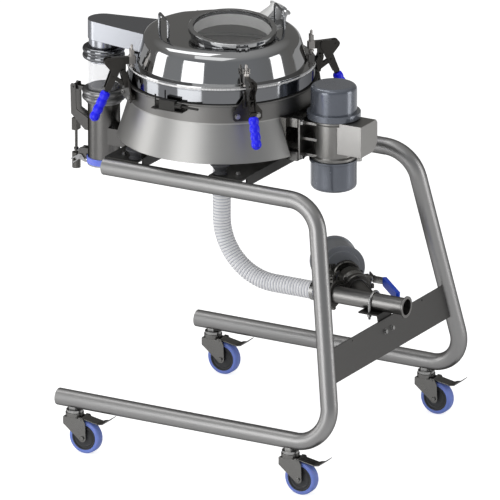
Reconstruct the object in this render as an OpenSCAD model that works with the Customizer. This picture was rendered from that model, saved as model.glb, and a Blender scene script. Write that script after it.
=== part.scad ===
// Vibratory check sifter on a four-wheeled trolley.
// Lengths are in millimetres. X runs along the trolley's rails, towards its uprights, and Z is up.
// Inside the modules the sieve's axis is at X = 0 and Y = 0. place() then moves the whole machine
// so that its origin is on the floor, under the middle of its outline.

/* [Trolley frame] */
// Outer diameter of the bent frame tube
tube_od = 50.8; // [49:0.1:52]
// Wall of the frame tube
tube_wall = 2; // [1.5:0.1:3]
// Radius of the tube's bends, at its axis
bend_r = 100; // [90:1:108]
// Height of the top rails above the bottom rails
frame_rise = 685; // [665:1:700]
// Distance between the two top rails
top_rail_gap = 567; // [560:1:575]
// Distance between the two bottom rails
bottom_rail_gap = 810; // [790:1:830]
// Length of a top rail from the sieve's axis to its free end
top_rail_reach = 229; // [228:1:240]
// Length of a bottom rail from the sieve's axis to its free end
bottom_rail_reach = 316; // [300:1:330]
// Distance from the sieve's axis to the top corner of the side frame
top_corner_x = 475; // [465:1:485]
// Distance from the sieve's axis to the bottom corner of the side frame
bottom_corner_x = 597; // [590:1:605]
// Height of the sloping cross plate
cross_plate_h = 100; // [90:1:110]
// Thickness of the cross plate
cross_plate_t = 5; // [4:0.5:8]
// Distance down the slope from the top rails to the cross plate
cross_plate_drop = 424; // [410:1:440]
// Width of each beam under the sieve
beam_w = 107; // [100:1:112]
// Thickness of the beams' sheet
beam_t = 5; // [3:0.5:6]
// Distance from the sieve's axis to the middle of each beam
beam_x = 173.5; // [170:0.5:176]

/* [Casters] */
// Diameter of the wheels
wheel_d = 100; // [90:1:105]
// Width of the tyres
wheel_w = 32; // [28:1:34]
// Distance from a caster's swivel axis to its wheel's axle
caster_trail = 38; // [34:0.5:40]
// Diameter of the swivel housing
swivel_d = 54; // [50:1:58]
// Distance from the sieve's axis to the swivels at the free ends
caster_left_x = 262; // [255:1:270]
// Distance from the sieve's axis to the swivels at the uprights
caster_right_x = 460; // [450:1:465]

/* [Sieve] */
// Radius of the straight band above the skirt's cone
band_r = 270; // [269:0.5:271]
// How far the skirt's bottom edge stands out from the band
skirt_flare = 34; // [30:1:38]
// Height of the skirt's cone
skirt_cone_h = 109; // [100:1:115]
// Height of the straight band
band_h = 56; // [52:1:60]
// Wall of the sieve's sheet metal
sheet = 3; // [2:0.5:4]
// Height of the isolators
isolator_h = 30; // [26:1:36]
// Distance of the isolators from the sieve's axis, along the rails
isolator_x = 141; // [138:1:144]
// Distance of the isolators from the sieve's axis, across the rails
isolator_y = 255; // [250:1:258]
// How far the middle ring's wall stands out from the band
ring_out = 2; // [1:0.5:3]
// Height of the middle ring's wall
ring_h = 43; // [40:1:50]
// How far the rolled beads at the joints stand out from the band
bead_out = 11; // [9:0.5:12]
// Thickness of the mesh ring with its seal
mesh_ring_t = 5; // [4:0.5:7]
// Outer diameter of the product spout
spout_d = 48; // [44:0.5:50]

/* [Lid] */
// How far the lid's wall stands in from the middle ring's at its foot
lid_in = 23; // [21:0.5:25]
// How far the lid's wall leans in up to its shoulder
lid_taper = 20; // [17:0.5:23]
// Height of the lid's wall up to the shoulder
lid_wall_h = 70; // [66:1:74]
// Radius of the shoulder's curve
shoulder_r = 24; // [20:1:26]
// Radius of the viewport's clamp band
viewport_r = 128.5; // [126:0.5:130]
// Distance of the viewport's centre from the sieve's axis
viewport_offset = 70; // [66:1:72]
// Tilt of the viewport
viewport_tilt = 7; // [5:0.5:9]
// Outer diameter of the feed spigot
feed_d = 60; // [50:1:64]
// Diameter of the lid's handle wire
handle_wire = 8; // [7:0.5:10]
// Length of a lid handle between its legs
handle_len = 100; // [90:1:112]

/* [Toggle clamps] */
// How far the spindles stand in from the middle ring's wall
spindle_in = 2; // [1:0.5:4]
// Diameter of the spindles
spindle_d = 8; // [7:0.5:9]
// Diameter of the grips
grip_d = 28; // [25:0.5:29]
// Length of the grips
grip_len = 92; // [84:1:96]
// Width of the bracket plates at their bolts
bracket_w = 87; // [84:1:92]
// Distance between the two bolts of a bracket
bracket_pitch = 61; // [57:0.5:63]

/* [Oversize chute] */
// Distance from the band to the drop tube's axis
chute_out = 127; // [122:1:132]
// Radius of the chute's rounded end
chute_end_r = 46.5; // [45:0.5:48]
// Half-width of the chute at the lid
chute_half_w = 78; // [74:1:80]
// Height of the chute
chute_h = 57; // [54:1:58]
// Outer diameter of the drop tube
drop_od = 95; // [93:0.5:96]
// Wall of the chute, its spigot and the drop tube
chute_wall = 2; // [1.5:0.1:2.5]
// Outer diameter of the polished collar
collar_d = 125; // [120:1:130]
// Length of the clear sleeve that shows
sleeve_show = 90; // [84:1:96]
// Length of the drop tube below its ring
drop_len = 193; // [186:1:200]

/* [Motor] */
// Distance from the band to the motor's axis
motor_out = 104; // [100:1:108]
// Diameter of the motor's end caps
motor_cap_d = 135; // [132:1:138]
// Diameter of the motor's body
motor_body_d = 122; // [118:1:126]
// Diameter of the flange ring under the upper cap
motor_ring_d = 157; // [152:1:160]
// Height of an end cap
motor_cap_h = 91; // [86:1:94]
// Height of the body between the caps
motor_body_h = 124; // [120:1:126]
// Width of the mounting plate on the skirt
motor_plate_w = 200; // [190:1:206]

/* [Product line] */
// Outer diameter of the outlet pipe
pipe_od = 50.8; // [50:0.1:51.5]
// Wall of the outlet pipe
pipe_wall = 1.6; // [1.5:0.1:2.5]
// Height of the pipe's axis above the floor
pipe_z = 469; // [466:0.5:472]
// Distance from the sieve's axis to the pipe's open end
pipe_end_x = 618; // [612:1:625]
// Distance from the sieve's axis to the pipe's inlet ferrule
pipe_start_x = 374; // [370:1:378]
// Diameter of the clamp ferrules
ferrule_d = 64; // [63:0.5:65]
// Outer diameter of the hose
hose_od = 54; // [52:0.5:55]
// Radius of the hose's bend, at its axis
hose_bend_r = 175; // [170:1:180]
// Distance from the sieve's axis to the branch's middle on the pipe
branch_x = 494; // [490:1:496]

/* [Valve and filter] */
// Outer diameter of the valve's body
valve_d = 74; // [70:1:76]
// Diameter of the valve's stem
stem_d = 14; // [12:0.5:16]
// Length of the valve lever's grip
lever_grip_len = 152; // [140:1:155]
// Diameter of the filter's drum
filter_d = 142; // [134:1:146]
// Depth of the filter's drum
filter_depth = 92; // [86:1:96]

/* [Hidden] */
$fn = 72;
SIDES = ["front_left", "front_right", "back_left", "back_right"];
SIDE_X = [-1, 1, -1, 1];
SIDE_Y = [-1, -1, 1, 1];
CASTER_NODES = [for (part = ["caster_fork_", "caster_wheel_", "caster_pedal_"]) for (s = SIDES) str(part, s)];
CLAMP_NODES = [for (part = ["clamp_arm_", "clamp_handle_"]) for (s = SIDES) str(part, s)];

// Clearances: between seated pieces, round turning pins and in sliding guides
seat = 0.2;
run = 0.05;
slide = 0.4;

STEEL = [0.74, 0.75, 0.77];
POLISHED = [0.82, 0.83, 0.86];
DARK = [0.24, 0.235, 0.225];
MOTOR_GREY = [0.43, 0.46, 0.51];
GRIP_BLUE = [0.12, 0.13, 0.92];
VALVE_BLUE = [0.12, 0.27, 0.72];
SEAL_BLUE = [0.48, 0.54, 0.97];
TYRE_BLUE = [0.45, 0.54, 0.88];
RUBBER = [0.16, 0.17, 0.18];
HOSE_WHITE = [0.93, 0.93, 0.94];
CLEAR = [0.85, 0.87, 0.9, 0.4];

// Caster heights, from the floor up
fork_over = 4;
crown_t = 4;
race_h = 12;
cap_h = 8;
stem_show = 4.1;
crown_z = wheel_d + fork_over;
race_top = crown_z + crown_t + race_h;
caster_h = race_top + cap_h + stem_show;
king_r = 6;
king_head_t = 2;
stem_nut_r = 19;
fork_back = 26;
fork_in = 21;
fork_t = 3;
axle_r = 4;
axle_boss_r = 12;
pedal_pin = [32.5, crown_z + 3.5];
pedal_pin_r = 3;
pedal_t = 2.5;
tyre_t = 12;
tyre_round = 5;

// Side frame, in its own sloping plane
bottom_rail_z = caster_h + tube_od / 2;
top_rail_z = bottom_rail_z + frame_rise;
lean_y = (bottom_rail_gap - top_rail_gap) / 2;
lean_x = bottom_corner_x - top_corner_x;
plane_h = norm([lean_y, frame_rise]);
plane_tilt = atan(lean_y / frame_rise);
lean = atan(lean_x / plane_h);
top_tangent = bend_r * tan((90 - lean) / 2);
bottom_tangent = bend_r * tan((90 + lean) / 2);
top_bend = [top_corner_x - top_tangent, -bend_r];
bottom_bend = [bottom_corner_x - bottom_tangent, -plane_h + bend_r];
bend_out = bend_r * [cos(lean), sin(lean)];
cap_t = 3;
bend_over = 3;
bend_less = 0.3;

// Cross plate, in the plane of the two uprights
plate_lean = atan(lean_x / frame_rise);
plate_hole_y = 208;
plate_hole_r = 3.3;
plate_hole_in = 8;
plate_bolt_y = 20.5;
plate_bolt_drop = 460;

// Beams and isolators
beam_l = top_rail_gap + 5;
beam_z = top_rail_z + tube_od / 2 + seat;
beam_lip = 30;
beam_top = beam_z + beam_t;
beam_bolt_in = 49;
beam_bolt_y = 236;
isolator_top_r = 29;
isolator_foot_r = 20;
isolator_waist_r = 16;

// Sieve radii and distances from its axis
skirt_r = band_r + skirt_flare;
ring_r = band_r + ring_out;
bead_r = band_r + bead_out;
lid_r = ring_r - lid_in;
lid_top_r = lid_r - lid_taper;
spindle_r = ring_r - spindle_in;
chute_x = band_r + chute_out;
motor_x = band_r + motor_out;
screen_r = band_r - 18;

// Sieve heights
skirt_z = beam_top + isolator_h + seat;
band_z = skirt_z + skirt_cone_h;
base_top = band_z + band_h;
flange_t = 6;
ring_z = base_top + flange_t;
mesh_z = ring_z + ring_h;
lid_z = mesh_z + mesh_ring_t;
lid_flange_t = 5;
lid_flange_r = ring_r + 2;
lid_wall_z = lid_z + lid_flange_t;
dome_rise = 6;
lid_slope = atan((lid_r - lid_top_r) / lid_wall_h);
foot_ring_in = 34;
funnel_z = 20;
spout_wall = 2;
mesh_t = 1;

// Viewport, feed spigot and handles on the lid: angles are round the sieve's axis
viewport_lift = 2;
viewport_angle = -34;
tilt_angle = -45;
band_bolt_angle = -47;
glass_z = 12;
glass_t = 8;
neck_h = 34;
neck_r = 121;
window_r = 114;
feed_angle = 72;
feed_tilt = 45;
feed_end_r = lid_r - 18;
feed_rise = 14;
feed_len = 75;
feed_flare = 24;
handle_angle = 45;
handle_r = 174;
handle_rise = 47;
handle_foot_drop = 16;

// Lid switch
shelf_x = -12;
shelf_w = 102;
shelf_z = band_z + 38;
shelf_t = 3;
shelf_out = 30;
shelf_bolt_x = 24;
shelf_bolt_r = 3;

// Toggle clamps: r is the distance from the sieve's axis
clamp_angle = 45;
clamp_plate_t = 5;
clamp_plate_r = bead_r + 1;
clamp_plate_z = band_z + 15;
clamp_plate_h = 68;
bolt_r = 4;
bracket_bolt_z = band_z + 30;
cheek_t = 4;
cheek_gap = 18;
arm_pin = [clamp_plate_r + 15, lid_wall_z - 14];
arm_z = lid_wall_z + 9;
arm_h = 22;
arm_w = 14;
arm_plate_t = 3;
handle_pin = [spindle_r + 72, arm_z + arm_h / 2];
pin_r = 3;
handle_plate_t = 3;
grip_top = handle_pin + [4, -90];
grip_angle = 26;
grip_bulges = 4;
grip_rod_r = 5;
link_pin = handle_pin + [-14, -47];
link_drop = 34;
spindle_top_z = arm_z + arm_h + 35;

// Chute
chute_z = lid_wall_z + 4;
chute_in = lid_r - 30;
spigot_r = drop_od / 2 - 3.5;
sleeve_t = 3;
collar_h = 39;
collar_z = chute_z - 24 - collar_h;
drop_ring_h = 36;
drop_ring_z = collar_z - sleeve_show - drop_ring_h;
drop_z = drop_ring_z - drop_len;
drop_collar_d = collar_d + 3;
seal_r = drop_od / 2 + 3.5;
seal_h = 19;
seal_z = drop_z - 2;
flap_t = 4;
flap_gap = 0.3;
flap_z = seal_z - flap_gap - flap_t;
flap_pin_x = -chute_x - drop_od / 2 - 24.5;
flap_pin_z = flap_z + flap_t + 10;
link_reach = 22.5;
link_x = flap_pin_x - link_reach;
link_pin_z = flap_pin_z - 14;
link_grip_r = 12.5;
link_grip_z = link_pin_z - 27;
link_grip_h = 47;
link_rod_r = 4.2;
clevis_z = link_grip_z + link_grip_h + 70;
clevis_h = 37;
ear_y = 13;
ear_t = 4;
ear_pin = [-chute_x - 96, drop_ring_z + 25];
drop_in = -chute_x - drop_od / 2 + 4;
spigot_z = collar_z - 8;
drop_spigot_h = 43;
drop_foot_t = 5;
drop_foot_w = 90;
drop_bolt_y = 20;
arm_rib_y = 33;
rib_t = 4;
rib_h = 51;
rib_z = beam_z - 53;
lug_in = 8;
lug_t = 4.5;
arm_t = 4;
flap_arm_y = lug_in + lug_t + 0.7 + arm_t / 2;
slot_r = pin_r + 1.3;

// Motor
motor_mid_z = skirt_z + 45.5;
motor_body_z = motor_mid_z - motor_body_h / 2;
motor_plate_t = 8;
motor_plate_x = band_r + 1 - motor_plate_t;
motor_plate_z = skirt_z - 14;
motor_plate_h = 128;
foot_x = motor_x - motor_body_d / 2 - 16;
foot_t = 6;
lug_y = 66;
lug_size = 27;
lug_low_z = motor_mid_z - 51;
lug_top_z = motor_mid_z + 51;
shaft_r = 12;
motor_bolt_r = 5;
cap_wall = 5;
weight_h = 52;
box_x = motor_x + 30;
box_w = 98;
box_l = 87;
box_h = 93;
box_z = motor_mid_z - 33;

// Product line
spout_z = skirt_z - 70;
hose_in_r = spout_d / 2 + 0.3;
hose_top = spout_z + 45;
hose_end_x = 330;
hose_bend_z = pipe_z + hose_bend_r;
seal_gap = 2;
ferrule_t = 6;
tri_clamp_r = 41;
tri_clamp_w = 2 * ferrule_t + seal_gap + 4;
branch_angle = 135;
branch_len = 124;
valve_len = 122;
valve_mid = branch_len + seal_gap + valve_len / 2;
valve_end = branch_len + seal_gap + valve_len;
filter_neck = valve_end + seal_gap;
filter_front = filter_neck + 43;
cover_t = 9;
ball_r = 26;
ball_bore_r = 19;
lever_y = -62;
lever_out_y = -87;
lever_w = 21;
lever_t = 4;
bracket_top = pipe_z - pipe_od / 2 - seat;
bracket_t = 5;
bracket_half_w = 38;
u_bolt_x = 510;
u_rod_r = 4;
u_leg_y = pipe_od / 2 + u_rod_r + seat;
bracket_start_x = 478;
bracket_bend_x = 541;
bracket_foot = 486;
valve_body_l = 54;
lever_bend_x = 180;
lever_grip_x = 155;
grip_w = 26;

// The machine's outline along X, and its middle
outline_left = link_x - link_grip_r;
outline_right = pipe_end_x;
middle_x = (outline_left + outline_right) / 2;

module place() translate([-middle_x, 0, 0]) children();

// A piece that stands at angle a round the sieve's axis, drawn with X pointing outwards
module around(a) rotate([0, 0, a]) children();

// A plate drawn in the XZ plane, of thickness t, centred on Y = y
module plate_xz(t, y = 0) translate([0, y + t / 2, 0]) rotate([90, 0, 0]) linear_extrude(t) children();

module tube_z(r, wall, h) difference() {
    cylinder(r = r, h = h);
    translate([0, 0, -1]) cylinder(r = r - wall, h = h + 2);
}

// A cylinder along Y, centred on the XZ point p
module pin_y(p, r, len) translate([p[0], len / 2, p[1]]) rotate([90, 0, 0]) cylinder(r = r, h = len);

// A cylinder along X from x0 to x1
module rod_x(x0, x1, r) translate([x0, 0, 0]) rotate([0, 90, 0]) cylinder(r = r, h = x1 - x0);

// A bolt head with its washer on the plane Z = 0, and a shank that goes down into the hole
module bolt(r, head_h, shank) {
    cylinder(r = 2 * r, h = 0.3 * r);
    translate([0, 0, 0.3 * r]) cylinder(r = 1.7 * r, h = head_h, $fn = 6);
    translate([0, 0, -shank]) cylinder(r = r, h = shank + 0.1);
}

// A bolt hole through thickness t below the plane Z = 0, open past both faces
module bolt_hole(t, r = bolt_r) translate([0, 0, -t - 1]) cylinder(r = r + run, h = t + 2);

// n + 1 points on the arc of radius r round c, from angle a0 to a1
function arc(c, r, a0, a1, n) = [
    for (i = [0 : n]) let (a = a0 + (a1 - a0) * i / n) c + r * [cos(a), sin(a)]];

// Trolley

module frame_plane() translate([0, -top_rail_gap / 2, top_rail_z]) rotate([90 - plane_tilt, 0, 0]) children();

// A bend is a little thinner than the straights and reaches into both of them
module frame_bend(r, turn) rotate([0, 0, -bend_over]) rotate_extrude(angle = turn + 2 * bend_over)
    translate([bend_r, 0]) circle(r = r - bend_less);

// The bent rod of radius r along the side frame's axis, longer by over at its free ends
module frame_path(r, over) {
    translate([-top_rail_reach, 0, 0]) rod_x(-over, top_rail_reach + top_bend[0], r);
    translate(top_bend) rotate([0, 0, lean]) frame_bend(r, 90 - lean);
    translate(top_bend + bend_out) rotate([90, 0, lean]) cylinder(r = r, h = norm(top_bend - bottom_bend));
    translate(bottom_bend) rotate([0, 0, -90]) frame_bend(r, 90 + lean);
    translate([-bottom_rail_reach, -plane_h, 0]) rod_x(-over, bottom_rail_reach + bottom_bend[0], r);
}

module side_frame() color(STEEL) frame_plane() {
    difference() {
        frame_path(tube_od / 2, 0);
        frame_path(tube_od / 2 - tube_wall, 1);
    }
    for (end = [[-top_rail_reach, 0, 0], [-bottom_rail_reach, -plane_h, 0]])
        translate(end) rod_x(0, cap_t, tube_od / 2 - tube_wall / 2);
}

module side_frame_front() place() side_frame();

module side_frame_back() place() mirror([0, 1, 0]) side_frame();

// The space that the two uprights take up
module upright_space() for (flip = [0, 1]) mirror([0, flip, 0]) frame_plane()
    translate(top_bend + bend_out) rotate([90, 0, lean])
        cylinder(d = tube_od + 2 * seat, h = norm(top_bend - bottom_bend));

// Half the distance between the uprights' axes, d down the slope from the top rails
function upright_y(d) = top_rail_gap / 2 + lean_y * d * cos(plate_lean) / frame_rise;

// Drawn with Y across the trolley, Z up the slope and X square to the plate
module in_cross_plane() translate([top_corner_x, 0, top_rail_z]) rotate([0, -plate_lean, 0]) children();

module plate_bolt_places() in_cross_plane() for (y = [-plate_bolt_y, plate_bolt_y])
    translate([0, y, -plate_bolt_drop]) rotate([0, 90, 0]) children();

module cross_plate() place() color(DARK) difference() {
    top = cross_plate_drop;
    foot = cross_plate_drop + cross_plate_h;
    in_cross_plane() rotate([90, 0, 90]) translate([0, 0, -cross_plate_t / 2]) linear_extrude(cross_plate_t)
        polygon([
            [-upright_y(foot), -foot], [upright_y(foot), -foot],
            [upright_y(top), -top], [-upright_y(top), -top]]);
    upright_space();
    in_cross_plane() for (y = [-plate_hole_y, plate_hole_y])
        translate([-cross_plate_t, y, -cross_plate_drop - plate_hole_in]) rotate([0, 90, 0])
            cylinder(r = plate_hole_r, h = 2 * cross_plate_t);
    plate_bolt_places() translate([0, 0, cross_plate_t / 2]) bolt_hole(cross_plate_t);
}

module beam_bolt_places() for (x = [-1, 1], y = [-1, 1])
    translate([x * (isolator_x + beam_bolt_in), y * beam_bolt_y, beam_top]) children();

// Bolts that hold the drop tube's bracket to the outer lip of the left beam
module drop_bolt_places() for (y = [-drop_bolt_y, drop_bolt_y])
    translate([-beam_x - beam_w / 2 - drop_foot_t, y, beam_z - beam_lip / 2 + beam_t / 2])
        rotate([0, -90, 0]) children();

module sieve_beams() place() color(DARK) difference() {
    lip_l = top_rail_gap - tube_od - 20;
    for (x = [-beam_x, beam_x]) {
        translate([x - beam_w / 2, -beam_l / 2, beam_z]) cube([beam_w, beam_l, beam_t]);
        for (edge = [-beam_w / 2, beam_w / 2 - beam_t])
            translate([x + edge, -lip_l / 2, beam_z - beam_lip + beam_t]) cube([beam_t, lip_l, beam_lip]);
    }
    beam_bolt_places() bolt_hole(beam_t);
    drop_bolt_places() bolt_hole(drop_foot_t + beam_t);
}

module frame_bolts() place() color(STEEL) {
    beam_bolt_places() bolt(bolt_r, 5, beam_t + 8);
    plate_bolt_places() translate([0, 0, cross_plate_t / 2]) bolt(bolt_r, 5, cross_plate_t + bracket_t + 6);
    drop_bolt_places() bolt(bolt_r, 5, drop_foot_t + beam_t + 6);
}

// Casters

module caster_at(i) {
    x = SIDE_X[i] < 0 ? -caster_left_x : caster_right_x;
    translate([x, SIDE_Y[i] * bottom_rail_gap / 2, 0]) children();
}

// Bearing cap, nut and kingpin under the rail, cut to sit on the tube
module caster_stems() place() color(STEEL) for (i = [0 : 3]) caster_at(i) difference() {
    king_z = crown_z - king_head_t - seat;
    union() {
        translate([0, 0, race_top + slide]) cylinder(d = swivel_d - 4, h = cap_h - slide);
        translate([0, 0, race_top + cap_h - 0.1]) cylinder(r = stem_nut_r, h = tube_od, $fn = 6);
        translate([0, 0, king_z]) cylinder(r = king_r, h = race_top + cap_h - king_z);
        translate([0, 0, king_z]) cylinder(r = king_r + 2, h = king_head_t);
    }
    translate([-tube_od, 0, bottom_rail_z]) rotate([0, 90, 0])
        cylinder(d = tube_od + 2 * seat, h = 2 * tube_od);
    translate([-tube_od, -tube_od, bottom_rail_z]) cube(2 * tube_od);
}

module fork_leg() {
    polygon(concat(
        [[-fork_back, crown_z + crown_t], [-fork_back, crown_z - 18]],
        arc([caster_trail, wheel_d / 2], axle_boss_r, 215, 350, 9),
        [[caster_trail + 10, crown_z - 8], [pedal_pin[0] + 6, crown_z + crown_t + 4],
         [pedal_pin[0] - 6, crown_z + crown_t + 4], [pedal_pin[0] - 8, crown_z + crown_t]]));
}

module caster_fork(i) place() color(STEEL) caster_at(i) {
    outer = fork_in + fork_t;
    difference() {
        union() {
            translate([-fork_back, -outer, crown_z]) cube([fork_back + pedal_pin[0] - 8, 2 * outer, crown_t]);
            for (y = [-outer + fork_t / 2, outer - fork_t / 2]) plate_xz(fork_t, y) fork_leg();
            translate([0, 0, crown_z + crown_t - 0.1]) cylinder(d = swivel_d, h = race_h + 0.1);
        }
        translate([0, 0, crown_z - 1]) cylinder(r = king_r + run, h = race_h + crown_t + 2);
        pin_y([caster_trail, wheel_d / 2], axle_r + run, 3 * outer);
        pin_y(pedal_pin, pedal_pin_r + run, 3 * outer);
    }
    pin_y([caster_trail, wheel_d / 2], axle_r, 2 * outer + 2);
    for (flip = [0, 1]) mirror([0, flip, 0])
        translate([caster_trail, outer + seat, wheel_d / 2]) rotate([-90, 0, 0])
            cylinder(r = axle_r + 3, h = 4, $fn = 6);
}

module caster_wheel(i) place() caster_at(i) translate([caster_trail, 0, wheel_d / 2]) rotate([90, 0, 0]) {
    half = wheel_w / 2;
    rim = wheel_d / 2 - tyre_t;
    color(RUBBER) rotate_extrude() polygon([
        [axle_r + run, -half - 3], [axle_r + 6, -half - 3], [axle_r + 9, -half + 4], [rim - 7, -half + 4],
        [rim - 4, -half + 1], [rim, -half + 1], [rim, half - 1], [rim - 4, half - 1],
        [rim - 7, half - 4], [axle_r + 9, half - 4], [axle_r + 6, half + 3], [axle_r + run, half + 3]]);
    color(TYRE_BLUE) rotate_extrude() polygon(concat(
        [[rim + seat, half - 1], [rim + seat, -half + 1]],
        arc([wheel_d / 2 - tyre_round, -half + tyre_round], tyre_round, -100, 0, 5),
        arc([wheel_d / 2 - tyre_round, half - tyre_round], tyre_round, 0, 100, 5)));
}

// A strip of thickness t along the points p, in the XZ plane
function strip(p, t) = concat(
    [for (q = p) q + [0, t / 2]],
    [for (i = [len(p) - 1 : -1 : 0]) p[i] - [0, t / 2]]);

module caster_pedal(i) place() color(DARK) caster_at(i) {
    bend = pedal_pin + [52, -8];
    lift = pedal_pin + [74, -4];
    tip = pedal_pin + [92, 11];
    pin_y(pedal_pin, pedal_pin_r + 0.8, 2 * fork_in - 2 * slide);
    plate_xz(2 * fork_in - 4) polygon(strip([pedal_pin + [2, 1], bend, lift], pedal_t));
    plate_xz(2 * fork_in + 6) polygon(strip([bend + [4, 0.7], lift, tip], pedal_t));
    pin_y(pedal_pin, pedal_pin_r, 2 * (fork_in + fork_t) + 2);
}

// Isolators and sieve base

module isolators() place() color(RUBBER) for (x = [-isolator_x, isolator_x], y = [-isolator_y, isolator_y])
    translate([x, y, beam_top]) rotate_extrude() polygon([
        [0, 0], [isolator_foot_r, 0], [isolator_foot_r, 3], [isolator_waist_r, 7], [isolator_waist_r, 10],
        [isolator_top_r - 4, isolator_h - 6], [isolator_top_r, isolator_h - 4], [isolator_top_r, isolator_h],
        [0, isolator_h]]);

module skirt_form(grow) translate([0, 0, skirt_z]) rotate_extrude() polygon([
    [0, 0], [skirt_r + grow, 0], [band_r + grow, skirt_cone_h], [band_r + grow, skirt_cone_h + band_h],
    [0, skirt_cone_h + band_h]]);

module sieve_base() place() color(STEEL) difference() {
    union() {
        difference() {
            skirt_form(0);
            translate([0, 0, -0.01]) skirt_form(-sheet);
            translate([0, 0, base_top - 1]) cylinder(r = band_r - sheet, h = 2);
        }
        translate([0, 0, skirt_z]) rotate_extrude() polygon([
            [skirt_r - foot_ring_in, 0], [skirt_r - 1, 0], [skirt_r - 2.5, 5], [skirt_r - foot_ring_in, 5]]);
        translate([0, 0, base_top]) rotate_extrude() {
            translate([band_r - 14, 0]) square([bead_r - flange_t / 2 - band_r + 14, flange_t]);
            translate([bead_r - flange_t / 2, flange_t / 2]) circle(d = flange_t);
        }
        translate([0, 0, skirt_z]) rotate_extrude() polygon([
            [spout_d / 2 - spout_wall, spout_z - skirt_z], [spout_d / 2, spout_z - skirt_z],
            [spout_d / 2, funnel_z], [band_r - 1, skirt_cone_h + band_h - 6],
            [band_r - 1, skirt_cone_h + band_h - 3],
            [spout_d / 2 - spout_wall, funnel_z + 2]]);
    }
    translate([motor_plate_x - seat, -motor_plate_w / 2, motor_plate_z])
        cube([skirt_r, motor_plate_w, motor_plate_h + seat]);
    clamp_bolt_places() bolt_hole(clamp_plate_r + clamp_plate_t - band_r + 2 * sheet);
    shelf_bolt_places() bolt_hole(shelf_t + 4 * sheet, shelf_bolt_r);
}

module motor_plate() place() color(STEEL) difference() {
    union() {
        translate([motor_plate_x, -motor_plate_w / 2 + seat, motor_plate_z])
            cube([motor_plate_t, motor_plate_w - 2 * seat, motor_plate_h]);
        for (flip = [0, 1]) mirror([0, flip, 0]) {
            difference() {
                translate([band_r - 40, motor_plate_w / 2 - seat - sheet, skirt_z])
                    cube([motor_plate_x - band_r + 41, sheet, motor_plate_z + motor_plate_h - skirt_z]);
                skirt_form(seat);
            }
            intersection() {
                translate([motor_plate_x + 1, motor_plate_w / 2 - seat - sheet, skirt_z])
                    cube([skirt_r - motor_plate_x, sheet, skirt_cone_h]);
                skirt_form(-1);
            }
        }
    }
    lug_places() bolt_hole(motor_plate_t, motor_bolt_r);
}

module middle_ring() place() color(POLISHED) translate([0, 0, ring_z]) rotate_extrude() polygon([
    [band_r - 14, 0], [ring_r, 0], [ring_r, ring_h - 4], [ring_r + 3, ring_h - 3], [ring_r + 3, ring_h],
    [band_r - 14, ring_h], [band_r - 14, ring_h - 3], [ring_r - sheet, ring_h - 3], [ring_r - sheet, 4],
    [band_r - 14, 4]]);

module mesh_screen() place() color(STEEL) translate([0, 0, mesh_z]) rotate_extrude() {
    translate([screen_r, 0]) square([lid_flange_r - screen_r, mesh_ring_t]);
    translate([0, mesh_t]) square([screen_r + 1, mesh_t]);
}

// Lid

shoulder_c = [lid_top_r, lid_wall_h] - shoulder_r * [cos(lid_slope), sin(lid_slope)];
lid_top = lid_wall_z + shoulder_c[1] + shoulder_r + dome_rise;
viewport_z = lid_top + viewport_lift;

// Half outline of the lid, pushed in by t
function lid_half(t) = concat(
    [[lid_r - t / cos(lid_slope), 0]],
    arc(shoulder_c, shoulder_r - t, lid_slope, 88, 8),
    [[0, shoulder_c[1] + shoulder_r + dome_rise - t]]);

module lid_form(t) translate([0, 0, lid_wall_z]) rotate_extrude() polygon(concat(lid_half(t), [[0, 0]]));

module in_viewport() around(viewport_angle) translate([viewport_offset, 0, viewport_z])
    around(tilt_angle - viewport_angle) rotate([0, viewport_tilt, 0]) children();

module in_feed() around(feed_angle) translate([feed_end_r, 0, lid_top + feed_rise])
    rotate([0, feed_tilt, 0]) children();

// The feed spigot's outside with its conical foot, larger by grow all round
module feed_form(grow) in_feed() translate([0, 0, -feed_len]) {
    cylinder(r = feed_d / 2 + grow, h = feed_len);
    cylinder(r1 = feed_d / 2 + feed_flare + grow, r2 = feed_d / 2 - 1 + grow, h = feed_len - 12);
}

module lid() place() color(POLISHED) difference() {
    union() {
        difference() {
            lid_form(0);
            translate([0, 0, -0.01]) lid_form(sheet);
        }
        translate([0, 0, lid_z]) rotate_extrude() polygon([
            [lid_r - 10, 0], [lid_flange_r, 0], [lid_flange_r, lid_flange_t - 1],
            [lid_flange_r - 1, lid_flange_t], [lid_r - 4, lid_flange_t + 0.5],
            [lid_r - 10, lid_flange_t - 2]]);
        in_viewport() translate([0, 0, glass_z - neck_h]) cylinder(r = neck_r, h = neck_h);
        difference() {
            feed_form(0);
            lid_form(sheet / 2);
        }
        in_feed() {
            translate([0, 0, -5]) cylinder(r1 = feed_d / 2, r2 = feed_d / 2 + 5, h = 2.5);
            translate([0, 0, -2.5]) cylinder(r = feed_d / 2 + 5, h = 2.5);
        }
    }
    in_viewport() translate([0, 0, glass_z - 2 * neck_h]) cylinder(r = window_r, h = 3 * neck_h);
    in_feed() translate([0, 0, -1.5 * feed_len]) cylinder(d = feed_d - 2 * chute_wall, h = 2 * feed_len);
    translate([-lid_r - 1, -chute_half_w + 8, chute_z + chute_wall])
        cube([lid_r / 2, 2 * chute_half_w - 16, chute_h - 2 * chute_wall]);
}

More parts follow.
